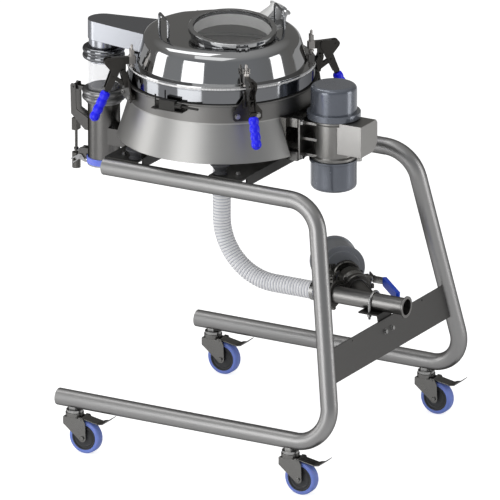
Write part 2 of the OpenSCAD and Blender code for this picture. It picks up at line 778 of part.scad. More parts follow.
// Clamp band round the glass, closed by a bolt through two lugs on each side
module viewport_band() place() color(POLISHED) in_viewport() {
    glass_top = glass_z + glass_t;
    rotate_extrude() polygon([
        [neck_r + seat, glass_z - 3], [viewport_r - 1.5, glass_z - 3], [viewport_r, glass_z - 1],
        [viewport_r, glass_top + 2], [viewport_r - 2, glass_top + 4], [window_r + 1, glass_top + 4],
        [window_r + 1, glass_top + seat], [neck_r + seat, glass_top + seat]]);
    for (a = [band_bolt_angle, band_bolt_angle + 180]) around(a - tilt_angle)
        translate([viewport_r + 5.5, 0, glass_z + 1]) {
            for (y = [-9, 9]) translate([-6.2, y - 3, -4]) cube([11, 6, 8]);
            translate([0, 19, 0]) rotate([90, 0, 0]) cylinder(r = 2.5, h = 38);
            for (y = [-19, 15]) translate([0, y + 4, 0]) rotate([90, 0, 0]) cylinder(r = 4, h = 4, $fn = 6);
        }
}

module viewport_glass() place() color(CLEAR) in_viewport() translate([0, 0, glass_z + seat / 2])
    cylinder(r = neck_r - 1, h = glass_t);

module lid_handles() place() color(STEEL) for (a = [handle_angle, handle_angle + 180]) around(a)
    translate([handle_r, 0, lid_top - handle_foot_drop]) difference() {
        rise = handle_rise + handle_foot_drop;
        round_r = 14;
        union() {
            for (flip = [0, 1]) mirror([0, flip, 0]) {
                translate([0, handle_len / 2, 0]) cylinder(d = handle_wire, h = rise - round_r);
                translate([0, handle_len / 2 - round_r, rise - round_r]) rotate([90, 0, 90])
                    rotate_extrude(angle = 90) translate([round_r, 0]) circle(d = handle_wire);
            }
            translate([0, handle_len / 2 - round_r, rise]) rotate([90, 0, 0])
                cylinder(d = handle_wire, h = handle_len - 2 * round_r);
        }
        translate([-handle_r, 0, handle_foot_drop - lid_top]) {
            lid_form(-seat / 2);
            around(-handle_angle) feed_form(seat / 2);
        }
    }

// Toggle clamps: the bracket stays on the sieve, the arm swings up and the handle swings on the arm

module clamp_at(i) around(clamp_angle * SIDE_Y[i] * (SIDE_X[i] > 0 ? 1 : 3)) children();

module clamp_bolt_places() for (i = [0 : 3]) clamp_at(i) for (y = [-bracket_pitch / 2, bracket_pitch / 2])
    translate([clamp_plate_r + clamp_plate_t, y, bracket_bolt_z]) rotate([0, 90, 0]) children();

// Plate on two spacers, with two cheeks that hold the arm's pin
module clamp_bracket() {
    low = bracket_bolt_z - clamp_plate_z + 12;
    half = cheek_gap / 2 + cheek_t;
    cheek_foot = arm_pin[1] - 46;
    cheek_in = clamp_plate_r + 1;
    translate([clamp_plate_r, 0, clamp_plate_z]) rotate([90, 0, 90]) linear_extrude(clamp_plate_t)
        polygon([
            [-bracket_w / 2 + 6, 0], [bracket_w / 2 - 6, 0], [bracket_w / 2, 6], [bracket_w / 2, low],
            [half + 4, clamp_plate_h - 6], [half, clamp_plate_h], [-half, clamp_plate_h],
            [-half - 4, clamp_plate_h - 6], [-bracket_w / 2, low], [-bracket_w / 2, 6]]);
    for (y = [-1, 1]) {
        plate_xz(cheek_t, y * (cheek_gap + cheek_t) / 2) polygon(concat(
            [[cheek_in, cheek_foot], [clamp_plate_r + clamp_plate_t + 8, cheek_foot]],
            arc(arm_pin, 8, 0, 180, 8),
            [[cheek_in, arm_pin[1] - 10]]));
        translate([band_r + seat, y * bracket_pitch / 2, bracket_bolt_z]) rod_x(0, clamp_plate_r - band_r, 9);
    }
    pin_y(arm_pin, pin_r, cheek_gap + 2 * cheek_t + 6);
}

module clamp_brackets() place() color(DARK) difference() {
    for (i = [0 : 3]) clamp_at(i) clamp_bracket();
    clamp_bolt_places() bolt_hole(clamp_plate_t + clamp_plate_r - band_r);
}

// A plate with rounded ends from XZ point p to q, its straight edges just inside the ends' tangents
module link_plate(p, q, r, t, y) plate_xz(t, y) {
    turn = atan2(q[1] - p[1], q[0] - p[0]);
    half = r - 0.1;
    translate(p) circle(r = r);
    translate(q) circle(r = r);
    translate(p) rotate(turn) translate([0, -half]) square([norm(q - p), 2 * half]);
}

module clamp_arm(i) place() color(DARK) clamp_at(i) {
    plate_y = (arm_w - arm_plate_t) / 2;
    difference() {
        union() {
            for (y = [-plate_y, plate_y]) {
                link_plate([spindle_r, handle_pin[1]], handle_pin, arm_h / 2, arm_plate_t, y);
                link_plate(arm_pin, [arm_pin[0], arm_z + 6], 8, arm_plate_t, y);
            }
            translate([spindle_r - arm_h / 2, -arm_w / 2, arm_z + arm_h - arm_plate_t])
                cube([handle_pin[0] - spindle_r, arm_w, arm_plate_t]);
            translate([spindle_r - arm_h / 2, -arm_w / 2, arm_z]) cube([arm_h, arm_w, arm_h]);
        }
        pin_y(arm_pin, pin_r + run, 2 * arm_w);
        pin_y(handle_pin, pin_r + run, 2 * arm_w);
    }
    translate([spindle_r, 0, 0]) {
        translate([0, 0, lid_wall_z + 2 * seat]) cylinder(r1 = 9, r2 = 7, h = 5);
        translate([0, 0, lid_wall_z + 2]) cylinder(d = spindle_d, h = spindle_top_z - lid_wall_z - 5);
        translate([0, 0, spindle_top_z - 3.1]) cylinder(d1 = spindle_d, d2 = spindle_d - 5, h = 3.1);
        translate([0, 0, arm_z + arm_h - 0.5]) cylinder(r = 8, h = 7, $fn = 6);
        translate([0, 0, arm_z + arm_h + 6]) cylinder(r = 6.5, h = 9);
        for (y = [-1, 1]) plate_xz(3.5, y * 8.5) translate([-5, arm_z + arm_h + 6]) square([10, 15]);
        translate([-3.5, -10, arm_z + arm_h + 7]) cube([7, 20, 5]);
    }
}

module clamp_handle(i) place() clamp_at(i) {
    plate_y = arm_w / 2 + slide + handle_plate_t / 2;
    pitch = grip_len / grip_bulges;
    color(DARK) {
        for (y = [-1, 1]) {
            plate_xz(handle_plate_t, y * plate_y) polygon(concat(
                arc(handle_pin, 12, -30, 90, 8),
                [handle_pin + [-42, 10], handle_pin + [-46, 4], handle_pin + [-45, -8],
                 handle_pin + [-37, -24], grip_top + [-9, 2], grip_top + [7, 10],
                 handle_pin + [-8, -30]]));
            link_plate(link_pin, arm_pin - [0, link_drop], 6, handle_plate_t, y * (arm_w / 2 - 2));
        }
        pin_y(handle_pin, pin_r, 2 * plate_y + handle_plate_t + 5);
        pin_y(link_pin, pin_r, 2 * plate_y + handle_plate_t + 5);
        translate([grip_top[0] - 7, -plate_y, grip_top[1] + 4]) cube([14, 2 * plate_y, 9]);
        translate([grip_top[0], 0, grip_top[1]]) rotate([0, 180 - grip_angle, 0]) translate([0, 0, -8])
            cylinder(r = grip_rod_r, h = grip_len - 4);
    }
    color(GRIP_BLUE) translate([grip_top[0], 0, grip_top[1]]) rotate([0, 180 - grip_angle, 0])
        rotate_extrude() polygon(concat(
            [[grip_rod_r + seat, 1]],
            [for (k = [0 : grip_bulges - 1]) for (a = [-70 : 35 : 70])
                [grip_d / 2 - 4 + 4 * cos(a), (k + 0.5) * pitch + 1 + 0.45 * pitch * sin(a)]],
            [[grip_d / 2 - 7, grip_len + 1], [0, grip_len + 3], [0, grip_len - 9],
             [grip_rod_r + seat, grip_len - 9]]));
}

module sieve_bolts() place() color(STEEL) {
    foot_out = foot_x + foot_t - motor_plate_x;
    clamp_bolt_places() bolt(bolt_r, 5, clamp_plate_r + clamp_plate_t - band_r + 1);
    lug_places() translate([0, 0, foot_out - motor_plate_t]) bolt(motor_bolt_r, 7, foot_out);
    shelf_bolt_places() bolt(shelf_bolt_r, 4, shelf_t + 6);
}

// Lid switch

module shelf_bolt_places() for (x = [-shelf_bolt_x, shelf_bolt_x])
    translate([shelf_x + x + 4, -band_r - shelf_t - 4, shelf_z + 12]) rotate([90, 0, 0]) children();

// Shelf on the band with the switch, its pin on the left and its plug and lead on the right
module lid_switch() place() difference() {
    edge_x = shelf_x - shelf_w / 2;
    switch_y = -band_r - shelf_out + 9;
    union() {
        color(DARK) {
            translate([edge_x, -band_r - shelf_out, shelf_z]) cube([shelf_w, shelf_out, shelf_t]);
            translate([edge_x, -band_r - shelf_t - 4, shelf_z]) cube([shelf_w, shelf_t + 8, 18]);
            translate([shelf_x - 26, -band_r - shelf_out + 1, shelf_z + shelf_t - 0.1]) cube([52, 15.5, 28]);
        }
        color(STEEL) {
            translate([edge_x + 9, switch_y, shelf_z - 4]) cylinder(r = 2.5, h = 46);
            translate([0, switch_y, shelf_z + shelf_t + 14]) {
                rod_x(13, 34, 8);
                rod_x(33, 88, 3.5);
            }
        }
    }
    skirt_form(seat);
    shelf_bolt_places() bolt_hole(4 * shelf_t, shelf_bolt_r);
}

// Oversize chute

module chute_plan(t) {
    r = chute_end_r - t;
    turn = asin((chute_half_w - chute_end_r) / (chute_x - chute_in));
    translate([-chute_x, 0]) circle(r = r);
    polygon([
        [-chute_x - r * sin(turn), r * cos(turn)], [-chute_x - r * sin(turn), -r * cos(turn)],
        [-chute_in, t - chute_half_w], [-chute_in, chute_half_w - t]]);
}

module on_drop_axis(z) translate([-chute_x, 0, z]) children();

module oversize_chute() place() color(STEEL) difference() {
    union() {
        translate([0, 0, chute_z]) linear_extrude(chute_h) chute_plan(0);
        on_drop_axis(spigot_z) cylinder(r = spigot_r, h = chute_z - spigot_z + 0.1);
    }
    translate([0, 0, chute_z + chute_wall]) linear_extrude(chute_h - 2 * chute_wall) difference() {
        chute_plan(chute_wall);
        translate([-chute_in - 0.1, -chute_half_w]) square(2 * chute_half_w);
    }
    on_drop_axis(spigot_z - 1) cylinder(r = spigot_r - chute_wall, h = chute_z - spigot_z + 2 * chute_wall);
    lid_form(-seat);
}

// A ring with two rolled beads, from the inner radius r to the outer diameter d
module beaded_ring(r, d, h) intersection() {
    bead = h / 4;
    union() {
        for (z = [bead, 3 * bead]) translate([d / 2 - bead, z]) circle(r = bead);
        polygon([[r, 1], [d / 2 - bead, 1], [d / 2 - 3, 2 * bead], [d / 2 - bead, h - 1], [r, h - 1]]);
    }
    translate([r, 0]) square([d / 2, h]);
}

module chute_collar() place() color(POLISHED) on_drop_axis(collar_z) rotate_extrude()
    beaded_ring(spigot_r + sleeve_t + slide + seat, collar_d, collar_h);

module clear_sleeve() place() color(CLEAR) on_drop_axis(drop_ring_z + 8)
    tube_z(spigot_r + sleeve_t + slide, sleeve_t, collar_z + collar_h - 2 - drop_ring_z - 8);

module drop_ring() place() color(POLISHED) on_drop_axis(drop_ring_z) rotate_extrude() {
    beaded_ring(drop_od / 2 + 2 * slide, drop_collar_d, drop_ring_h);
    polygon([
        [drop_od / 2 + seat, -7], [drop_od / 2 + 5, -7], [drop_od / 2 + 8, 3],
        [drop_od / 2 + 2 * slide, 3], [drop_od / 2 + seat, 2]]);
}

// Plates behind the drop tube that carry its adjusting link at the top
module drop_ear() polygon([
    [drop_in, rib_z + 27], [-chute_x - drop_od / 2 - 8, rib_z + 27], [ear_pin[0] - 6, rib_z + 70],
    ear_pin + [-8, 5], ear_pin + [-5, 10], ear_pin + [9, 10], ear_pin + [11, -67], [drop_in, rib_z + 63]]);

// Plates behind the drop tube that hold the flap's hinge
module hinge_lug() {
    back_x = -chute_x - seal_r - 2;
    above = seal_z + seal_h + 2;
    polygon(concat(
        [[drop_in, flap_pin_z + 27], [drop_in, above], [back_x, above], [back_x, flap_pin_z - 6]],
        arc([flap_pin_x, flap_pin_z], 9, -60, -180, 6),
        [[flap_pin_x - 9, flap_pin_z + 20], [flap_pin_x - 2, flap_pin_z + 27]]));
}

module drop_tube() place() color(STEEL) {
    foot_edge = beam_x + beam_w / 2;
    top_in = spigot_r - 2 * slide;
    collar_edge = -chute_x - drop_collar_d / 2 - seat;
    difference() {
        union() {
            on_drop_axis(drop_z) cylinder(d = drop_od, h = drop_ring_z + 2 - drop_z);
            on_drop_axis(drop_ring_z) cylinder(r = top_in, h = drop_spigot_h);
            for (y = [-1, 1]) {
                translate([-chute_x, y * arm_rib_y - rib_t / 2, rib_z])
                    cube([chute_x - foot_edge - 1, rib_t, rib_h]);
                plate_xz(ear_t, y * (ear_y + ear_t / 2)) drop_ear();
                plate_xz(lug_t, y * (lug_in + lug_t / 2)) hinge_lug();
            }
            translate([-foot_edge - drop_foot_t, -drop_foot_w / 2, rib_z])
                cube([drop_foot_t - seat, drop_foot_w, beam_z - rib_z]);
        }
        on_drop_axis(drop_z - 1)
            cylinder(d = drop_od - 2 * chute_wall, h = drop_ring_z - drop_z + 1 - chute_wall);
        on_drop_axis(drop_z)
            cylinder(r = top_in - chute_wall, h = drop_ring_z - drop_z + drop_spigot_h + 1);
        drop_bolt_places() bolt_hole(drop_foot_t);
        pin_y([flap_pin_x, flap_pin_z], pin_r + run, 4 * lug_in);
    }
    pin_y(ear_pin, pin_r, 2 * (ear_y + ear_t) + 6);
    color(DARK) plate_xz(2 * ear_y - 10) polygon([
        ear_pin + [-6, -7], [collar_edge, ear_pin[1] - 8], [collar_edge, ear_pin[1] + 4], ear_pin + [-6, 5]]);
}

module seal_ring() place() color(SEAL_BLUE) on_drop_axis(seal_z) rotate_extrude() polygon([
    [drop_od / 2 - chute_wall, 0], [seal_r - 1, 0], [seal_r, 1], [seal_r, seal_h - 1], [seal_r - 1, seal_h],
    [drop_od / 2 + seat, seal_h], [drop_od / 2 + seat, drop_z - seal_z - seat],
    [drop_od / 2 - chute_wall, drop_z - seal_z - seat]]);

// Flap under the drop tube: its arms reach past the hinge, and the link's pin works in their slots
module drop_flap() place() color(STEEL) {
    hinge = [flap_pin_x, flap_pin_z];
    to_link = [-link_reach, link_pin_z - flap_pin_z];
    way = to_link / norm(to_link);
    side = [-way[1], way[0]];
    tip = hinge + (norm(to_link) + 6) * way;
    slot_start = hinge + (link_reach - 2 - slot_r) * way;
    slot_end = tip + 3 * way;
    on_drop_axis(flap_z) cylinder(r = drop_od / 2 + 1.5, h = flap_t);
    difference() {
        for (y = [-flap_arm_y, flap_arm_y]) plate_xz(arm_t, y) polygon([
            [-chute_x - 30, flap_z], [-chute_x - 30, flap_z + flap_t],
            [-chute_x - seal_r - 2, flap_z + flap_t],
            hinge + [4, 7], hinge + [-5, 7], tip - 8 * side, tip + 8 * side, hinge + [-3, -8],
            [flap_pin_x + 16, flap_z]]);
        plate_xz(6 * lug_in) polygon([
            slot_start - slot_r * side, slot_end - slot_r * side,
            slot_end + slot_r * side, slot_start + slot_r * side]);
    }
    pin_y(hinge, pin_r, 2 * flap_arm_y + arm_t + 4);
}

module flap_link() place() translate([link_x, 0, 0]) {
    color(DARK) difference() {
        translate([0, 0, link_grip_z]) cylinder(r = link_grip_r, h = link_grip_h);
        translate([0, 0, link_grip_z - 1]) cylinder(r = link_rod_r, h = link_grip_h + 2);
    }
    color(STEEL) {
        translate([0, 0, link_grip_z - 2]) cylinder(r = link_rod_r, h = clevis_z - link_grip_z + 4);
        translate([0, 0, link_grip_z + link_grip_h + 8]) cylinder(r = 8, h = 6, $fn = 6);
        pin_y([0, link_pin_z], pin_r, 2 * flap_arm_y + arm_t + 3);
        translate([-8, -ear_y + slide, clevis_z]) cube([16, 2 * (ear_y - slide), clevis_h]);
    }
}

// Vibration motor

module lug_places() for (y = [-lug_y, lug_y], z = [lug_low_z, lug_top_z])
    translate([motor_plate_x + motor_plate_t, y, z]) rotate([0, 90, 0]) children();

module on_motor_axis(z) translate([motor_x, 0, z]) children();

module motor_body() place() color(STEEL) difference() {
    body_r = motor_body_d / 2;
    end = motor_body_h - 2 * seat;
    rib_y = lug_y - 2 * motor_bolt_r - 1;
    union() {
        on_motor_axis(motor_body_z + seat) rotate_extrude() polygon([
            [shaft_r + run, 0], [body_r + 4, 0], [body_r + 5, 1], [body_r + 5, 9], [body_r, 13],
            [body_r, end - 13], [body_r + 5, end - 9], [body_r + 5, end - 1], [body_r + 4, end],
            [shaft_r + run, end]]);
        translate([foot_x, -lug_y - 8, motor_body_z + 1]) cube([foot_t, 2 * lug_y + 16, motor_body_h - 2]);
        for (z = [motor_body_z + 14, motor_mid_z, motor_body_z + motor_body_h - 14]) difference() {
            translate([foot_x + 1, -rib_y, z - 4]) cube([motor_x - foot_x - 10, 2 * rib_y, 8]);
            on_motor_axis(z - 5) cylinder(r = body_r - 2, h = 10);
        }
        lug_places() translate([-lug_size / 2, -lug_size / 2, seat])
            cube([lug_size, lug_size, foot_x - motor_plate_x - motor_plate_t]);
    }
    lug_places() translate([0, 0, -1]) cylinder(r = motor_bolt_r + run, h = 2 * lug_size);
}

module motor_caps() place() color(MOTOR_GREY) {
    r = motor_cap_d / 2;
    ring = motor_ring_d / 2;
    inner = r - cap_wall;
    h = motor_cap_h;
    upper_h = h + 8;
    on_motor_axis(motor_body_z - h) rotate_extrude() polygon(concat(
        [[0, 0]],
        arc([r - 14, 14], 14, -90, 0, 8),
        [[r, h - 8], [r + 4, h - 6], [r + 4, h], [inner, h], [inner, 14], [inner - 10, cap_wall],
         [0, cap_wall]]));
    on_motor_axis(motor_body_z + motor_body_h) rotate_extrude() polygon(concat(
        [[inner, 0], [ring - 2, 0], [ring, 2], [ring, 18], [ring - 2, 20], [r, 20]],
        arc([r - 14, upper_h - 14], 14, 0, 90, 8),
        [[0, upper_h], [0, upper_h - cap_wall], [inner - 10, upper_h - cap_wall], [inner, h - 6]]));
}

module motor_rotor() place() color(STEEL) {
    top = motor_body_z + motor_body_h;
    on_motor_axis(motor_body_z - weight_h - 8) cylinder(r = shaft_r, h = motor_body_h + 2 * weight_h + 16);
    for (z = [motor_body_z - weight_h - 4, top + 4]) on_motor_axis(z) {
        intersection() {
            cylinder(r = motor_cap_d / 2 - cap_wall - 6, h = weight_h);
            translate([-motor_cap_d, 0, -1]) cube([2 * motor_cap_d, motor_cap_d, weight_h + 2]);
        }
        cylinder(r = shaft_r + 8, h = weight_h);
    }
}

module terminal_box() place() color(STEEL) {
    flange_z = motor_mid_z + motor_body_h / 2 - 13.4;
    difference() {
        translate([box_x, 0, box_z]) rotate([90, 0, 90]) linear_extrude(box_l) polygon([
            [-box_w / 2, 0], [box_w / 2 - 24, 0], [box_w / 2, 22], [box_w / 2, box_h - 10],
            [box_w / 2 - 8, box_h], [-box_w / 2, box_h]]);
        on_motor_axis(box_z - 1) cylinder(r = motor_body_d / 2 + seat, h = box_h + 2);
        on_motor_axis(flange_z) cylinder(r = motor_body_d / 2 + 5.3, h = box_h);
    }
    translate([box_x + box_l - 24, -16, box_z - 20]) {
        cylinder(r = 8, h = 21);
        translate([0, 0, 10]) cylinder(r = 11, h = 9, $fn = 6);
    }
}

// Product line

module hose_section() difference() {
    circle(d = hose_od);
    circle(r = hose_in_r);
}

module product_hose() place() color(HOSE_WHITE) {
    translate([0, 0, hose_bend_z]) linear_extrude(hose_top - hose_bend_z) hose_section();
    translate([hose_bend_r, 0, hose_bend_z]) rotate([90, 0, 0]) rotate_extrude(angle = 90, start = 180)
        translate([hose_bend_r, 0]) hose_section();
    translate([hose_bend_r, 0, pipe_z]) rotate([0, 90, 0])
        linear_extrude(hose_end_x - hose_bend_r) hose_section();
}

// A band round the hose, with its screw
module hose_band() {
    rotate_extrude() translate([hose_od / 2 + seat, 0]) square([1.6, 12]);
    translate([hose_od / 2 + 1.5, -9, 1]) cube([8, 18, 10]);
    translate([hose_od / 2 + 5.5, 15, 6]) rotate([90, 0, 0]) cylinder(r = 3.5, h = 30, $fn = 6);
}

// Ferrule along +X with its face at X = 0 and its pipe behind it
module ferrule() rotate([0, -90, 0]) {
    straight = 0.6 * ferrule_t;
    cylinder(d = ferrule_d, h = straight);
    translate([0, 0, straight - 0.01]) cylinder(d1 = ferrule_d, d2 = ferrule_d - 6, h = ferrule_t - straight);
}

module hose_fittings() place() color(STEEL) {
    translate([0, 0, hose_top - 32]) rotate([0, 0, -120]) hose_band();
    translate([hose_end_x - 24, 0, pipe_z]) rotate([0, 90, 0]) rotate([0, 0, 90]) hose_band();
    translate([0, 0, pipe_z]) difference() {
        union() {
            rod_x(hose_end_x - 40, pipe_start_x - seal_gap, spout_d / 2);
            translate([pipe_start_x - seal_gap, 0, 0]) ferrule();
        }
        rod_x(hose_end_x - 41, pipe_start_x, spout_d / 2 - spout_wall);
    }
}

module on_branch() translate([branch_x, 0, pipe_z]) rotate([0, 0, branch_angle]) children();

module outlet_pipe() place() color(STEEL) difference() {
    union() {
        translate([0, 0, pipe_z]) {
            rod_x(pipe_start_x, pipe_end_x, pipe_od / 2);
            translate([pipe_start_x, 0, 0]) mirror([1, 0, 0]) ferrule();
            translate([pipe_end_x, 0, 0]) ferrule();
        }
        on_branch() {
            rod_x(0, branch_len, pipe_od / 2);
            translate([branch_len, 0, 0]) ferrule();
        }
    }
    translate([0, 0, pipe_z]) rod_x(pipe_start_x - 1, pipe_end_x + 1, pipe_od / 2 - pipe_wall);
    on_branch() rod_x(0, branch_len + 1, pipe_od / 2 - pipe_wall);
}

module pipe_bracket() place() color(DARK) difference() {
    union() {
        translate([bracket_start_x, -bracket_half_w, bracket_top - bracket_t])
            cube([bracket_bend_x - bracket_start_x, 2 * bracket_half_w, bracket_t]);
        intersection() {
            in_cross_plane()
                translate([-cross_plate_t / 2 - seat - bracket_t, -bracket_half_w, -bracket_foot])
                cube([bracket_t, 2 * bracket_half_w, bracket_foot - cross_plate_drop + 60]);
            translate([0, -bracket_half_w, 0]) cube([2 * bracket_bend_x, 2 * bracket_half_w, bracket_top]);
        }
    }
    for (y = [-u_leg_y, u_leg_y]) translate([u_bolt_x, y, bracket_top]) bolt_hole(bracket_t, u_rod_r);
    plate_bolt_places() bolt_hole(3 * bracket_t);
}

module u_bolt() place() color(STEEL) translate([u_bolt_x, 0, 0]) {
    leg_foot = bracket_top - bracket_t - 16;
    translate([0, 0, pipe_z]) rotate([90, 0, 90])
        rotate_extrude(angle = 180) translate([u_leg_y, 0]) circle(r = u_rod_r);
    for (y = [-u_leg_y, u_leg_y]) translate([0, y, 0]) {
        translate([0, 0, leg_foot]) cylinder(r = u_rod_r, h = pipe_z - leg_foot);
        translate([0, 0, bracket_top - bracket_t - seat - 7]) cylinder(r = 7.5, h = 7, $fn = 6);
    }
}

// A ring clamp round two ferrules, centred on X = 0, with its wing nut on the side of +Y
module pipe_clamp() {
    half = tri_clamp_w / 2;
    lip = ferrule_t + seal_gap / 2 + seat;
    over = ferrule_d / 2 + seat;
    under = ferrule_d / 2 - 4;
    nut_y = tri_clamp_r + 6;
    rotate([0, 90, 0]) rotate_extrude() polygon([
        [over, -lip], [under, -lip], [under, -half], [tri_clamp_r - 3, -half], [tri_clamp_r, -half + 3],
        [tri_clamp_r, half - 3], [tri_clamp_r - 3, half], [under, half], [under, lip], [over, lip]]);
    for (z = [-15, 4]) translate([-half + 2, tri_clamp_r - 3, z]) cube([2 * half - 4, 17, 11]);
    translate([0, nut_y, -22]) cylinder(r = 3, h = 56);
    translate([0, nut_y, 15]) cylinder(r = 6, h = 9);
    for (y = [-14, 4]) translate([-2, nut_y + y, 17]) cube([4, 10, 17]);
    translate([-half + 3, -tri_clamp_r - 7, -6]) cube([2 * half - 6, 12, 12]);
}

module pipe_clamps() place() color(STEEL) {
    translate([pipe_start_x - seal_gap / 2, 0, pipe_z]) rotate([90, 0, 0]) mirror([0, 0, 1]) pipe_clamp();
    on_branch() {
        translate([branch_len + seal_gap / 2, 0, 0]) pipe_clamp();
        translate([valve_end + seal_gap / 2, 0, 0]) pipe_clamp();
    }
}

module valve_body() place() color(STEEL) on_branch() difference() {
    x0 = branch_len + seal_gap;
    union() {
        translate([x0, 0, 0]) mirror([1, 0, 0]) ferrule();
        translate([valve_end, 0, 0]) ferrule();
        rod_x(x0 + 1, valve_end - 1, pipe_od / 2);
        translate([valve_mid, 0, 0]) rotate([0, 90, 0]) rotate_extrude() polygon([
            [0, -valve_body_l / 2], [valve_d / 2 - 8, -valve_body_l / 2], [valve_d / 2, 8 - valve_body_l / 2],
            [valve_d / 2, valve_body_l / 2 - 8], [valve_d / 2 - 8, valve_body_l / 2], [0, valve_body_l / 2]]);
        translate([valve_mid, 0, 0]) rotate([90, 0, 0]) {
            cylinder(r = stem_d / 2 + 9, h = -lever_y - 12);
            cylinder(r = stem_d / 2 + 5, h = -lever_y - 5);
        }
    }
    rod_x(x0 - 1, valve_end + 1, ball_bore_r);
    translate([valve_mid, 0, 0]) {
        rotate([0, 90, 0]) sphere(r = ball_r + run);
        rotate([90, 0, 0]) cylinder(r = stem_d / 2 + run, h = -2 * lever_y);
    }
}

module valve_lever() place() color(STEEL) on_branch() {
    translate([valve_mid, 0, 0]) {
        difference() {
            sphere(r = ball_r);
            rod_x(-2 * ball_r, 2 * ball_r, ball_bore_r);
        }
        rotate([90, 0, 0]) translate([0, 0, ball_bore_r + 1])
            cylinder(d = stem_d, h = -lever_y - ball_bore_r + 6);
        translate([0, lever_y - lever_t, 0]) rotate([90, 0, 0]) cylinder(r = stem_d / 2 + 3, h = 5, $fn = 6);
    }
    slope_end = lever_bend_x + lever_out_y - lever_y;
    translate([0, 0, -lever_w / 2]) linear_extrude(lever_w) polygon([
        [valve_mid + 35, lever_y], [lever_bend_x, lever_y], [slope_end, lever_out_y],
        [lever_grip_x - 30, lever_out_y], [lever_grip_x - 30, lever_out_y - lever_t],
        [slope_end + 2, lever_out_y - lever_t], [lever_bend_x + 2, lever_y - lever_t],
        [valve_mid + 35, lever_y - lever_t]]);
}

module valve_grip() place() color(VALVE_BLUE) on_branch() difference() {
    x0 = lever_grip_x - lever_grip_len;
    x1 = lever_grip_x;
    mid_y = lever_out_y - lever_t / 2;
    translate([0, 0, -grip_w / 2]) linear_extrude(grip_w) polygon([
        [x0 + 6, mid_y - 6], [x1 - 3, mid_y - 6], [x1, mid_y - 3], [x1, mid_y + 3], [x1 - 3, mid_y + 6],
        [x0 + 6, mid_y + 6], [x0, mid_y]]);
    translate([lever_grip_x - 30 - seat, lever_out_y - lever_t - seat, -lever_w / 2 - seat])
        cube([60, lever_t + 2 * seat, lever_w + 2 * seat]);
}

module filter_drum() place() on_branch() {
    r = filter_d / 2;
    color(MOTOR_GREY) difference() {
        union() {
            translate([filter_neck, 0, 0]) mirror([1, 0, 0]) ferrule();
            rod_x(filter_neck + 1, filter_front + 1, pipe_od / 2);
            translate([filter_front, 0, 0]) rotate([0, 90, 0]) rotate_extrude() polygon([
                [0, 0], [r - 18, 0], [r - 16, 3], [r - 2, 3], [r, 5], [r, cover_t], [0, cover_t]]);
        }
        rod_x(filter_neck - 1, filter_front + cover_t + 1, pipe_od / 2 - pipe_wall);
    }
    color(RUBBER) rotate([0, 90, 0]) translate([0, 0, filter_front + cover_t + seat])
        rotate_extrude() polygon([
            [0, 6], [pipe_od / 2 + 4, 6], [pipe_od / 2 + 4, 0], [r - 4, 0], [r - 4, filter_depth - 10],
            [r, filter_depth - 8], [r, filter_depth], [0, filter_depth]]);
}

side_frame_front();
side_frame_back();
cross_plate();
sieve_beams();
frame_bolts();
caster_stems();
isolators();
sieve_base();
motor_plate();
middle_ring();
mesh_screen();
lid();
viewport_band();
viewport_glass();
lid_handles();
clamp_brackets();
lid_switch();
sieve_bolts();
oversize_chute();
chute_collar();
clear_sleeve();
drop_ring();
drop_tube();
seal_ring();
drop_flap();
flap_link();
motor_body();
motor_caps();
motor_rotor();
terminal_box();
product_hose();
hose_fittings();
outlet_pipe();
pipe_bracket();
u_bolt();
pipe_clamps();
valve_body();
valve_lever();
valve_grip();
filter_drum();
caster_fork(0);  // caster_fork_front_left
caster_fork(1);  // caster_fork_front_right
caster_fork(2);  // caster_fork_back_left
caster_fork(3);  // caster_fork_back_right
caster_wheel(0);  // caster_wheel_front_left
caster_wheel(1);  // caster_wheel_front_right
caster_wheel(2);  // caster_wheel_back_left
caster_wheel(3);  // caster_wheel_back_right
caster_pedal(0);  // caster_pedal_front_left
caster_pedal(1);  // caster_pedal_front_right
caster_pedal(2);  // caster_pedal_back_left
caster_pedal(3);  // caster_pedal_back_right
clamp_arm(0);  // clamp_arm_front_left
clamp_arm(1);  // clamp_arm_front_right
clamp_arm(2);  // clamp_arm_back_left
clamp_arm(3);  // clamp_arm_back_right
clamp_handle(0);  // clamp_handle_front_left
clamp_handle(1);  // clamp_handle_front_right
clamp_handle(2);  // clamp_handle_back_left
clamp_handle(3);  // clamp_handle_back_right
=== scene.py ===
import bpy, bmesh
from math import sin, cos, pi, radians, atan2, hypot
from mathutils import Vector, Matrix


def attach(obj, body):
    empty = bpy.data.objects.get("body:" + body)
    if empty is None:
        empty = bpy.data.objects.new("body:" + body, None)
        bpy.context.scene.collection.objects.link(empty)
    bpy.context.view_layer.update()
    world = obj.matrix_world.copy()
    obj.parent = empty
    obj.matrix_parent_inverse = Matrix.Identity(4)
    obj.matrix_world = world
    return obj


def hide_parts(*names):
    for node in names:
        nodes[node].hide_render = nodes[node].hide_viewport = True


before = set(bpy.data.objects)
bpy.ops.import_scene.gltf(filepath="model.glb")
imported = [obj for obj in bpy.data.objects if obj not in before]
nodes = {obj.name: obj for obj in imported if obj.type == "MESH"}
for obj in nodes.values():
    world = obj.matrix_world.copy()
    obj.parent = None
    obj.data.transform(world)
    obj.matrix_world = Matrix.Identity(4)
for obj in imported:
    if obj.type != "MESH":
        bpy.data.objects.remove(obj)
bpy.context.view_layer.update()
print("frame loaded:", len(nodes), "nodes")

sides = ["front_left", "front_right", "back_left", "back_right"]
signX = [-1, 1, -1, 1]
signY = [-1, -1, 1, 1]
clampTurn = [-135, -45, 135, 45]
middleX = 57.0      # mm from the sieve's axis to the middle of the machine's outline


def place(x, y, z):
    # a point in mm from the sieve's axis and the floor, as a point of the frame in metres
    return Vector(((x - middleX) / 1000, y / 1000, z / 1000))


def mm(*values):
    return Vector(values) / 1000


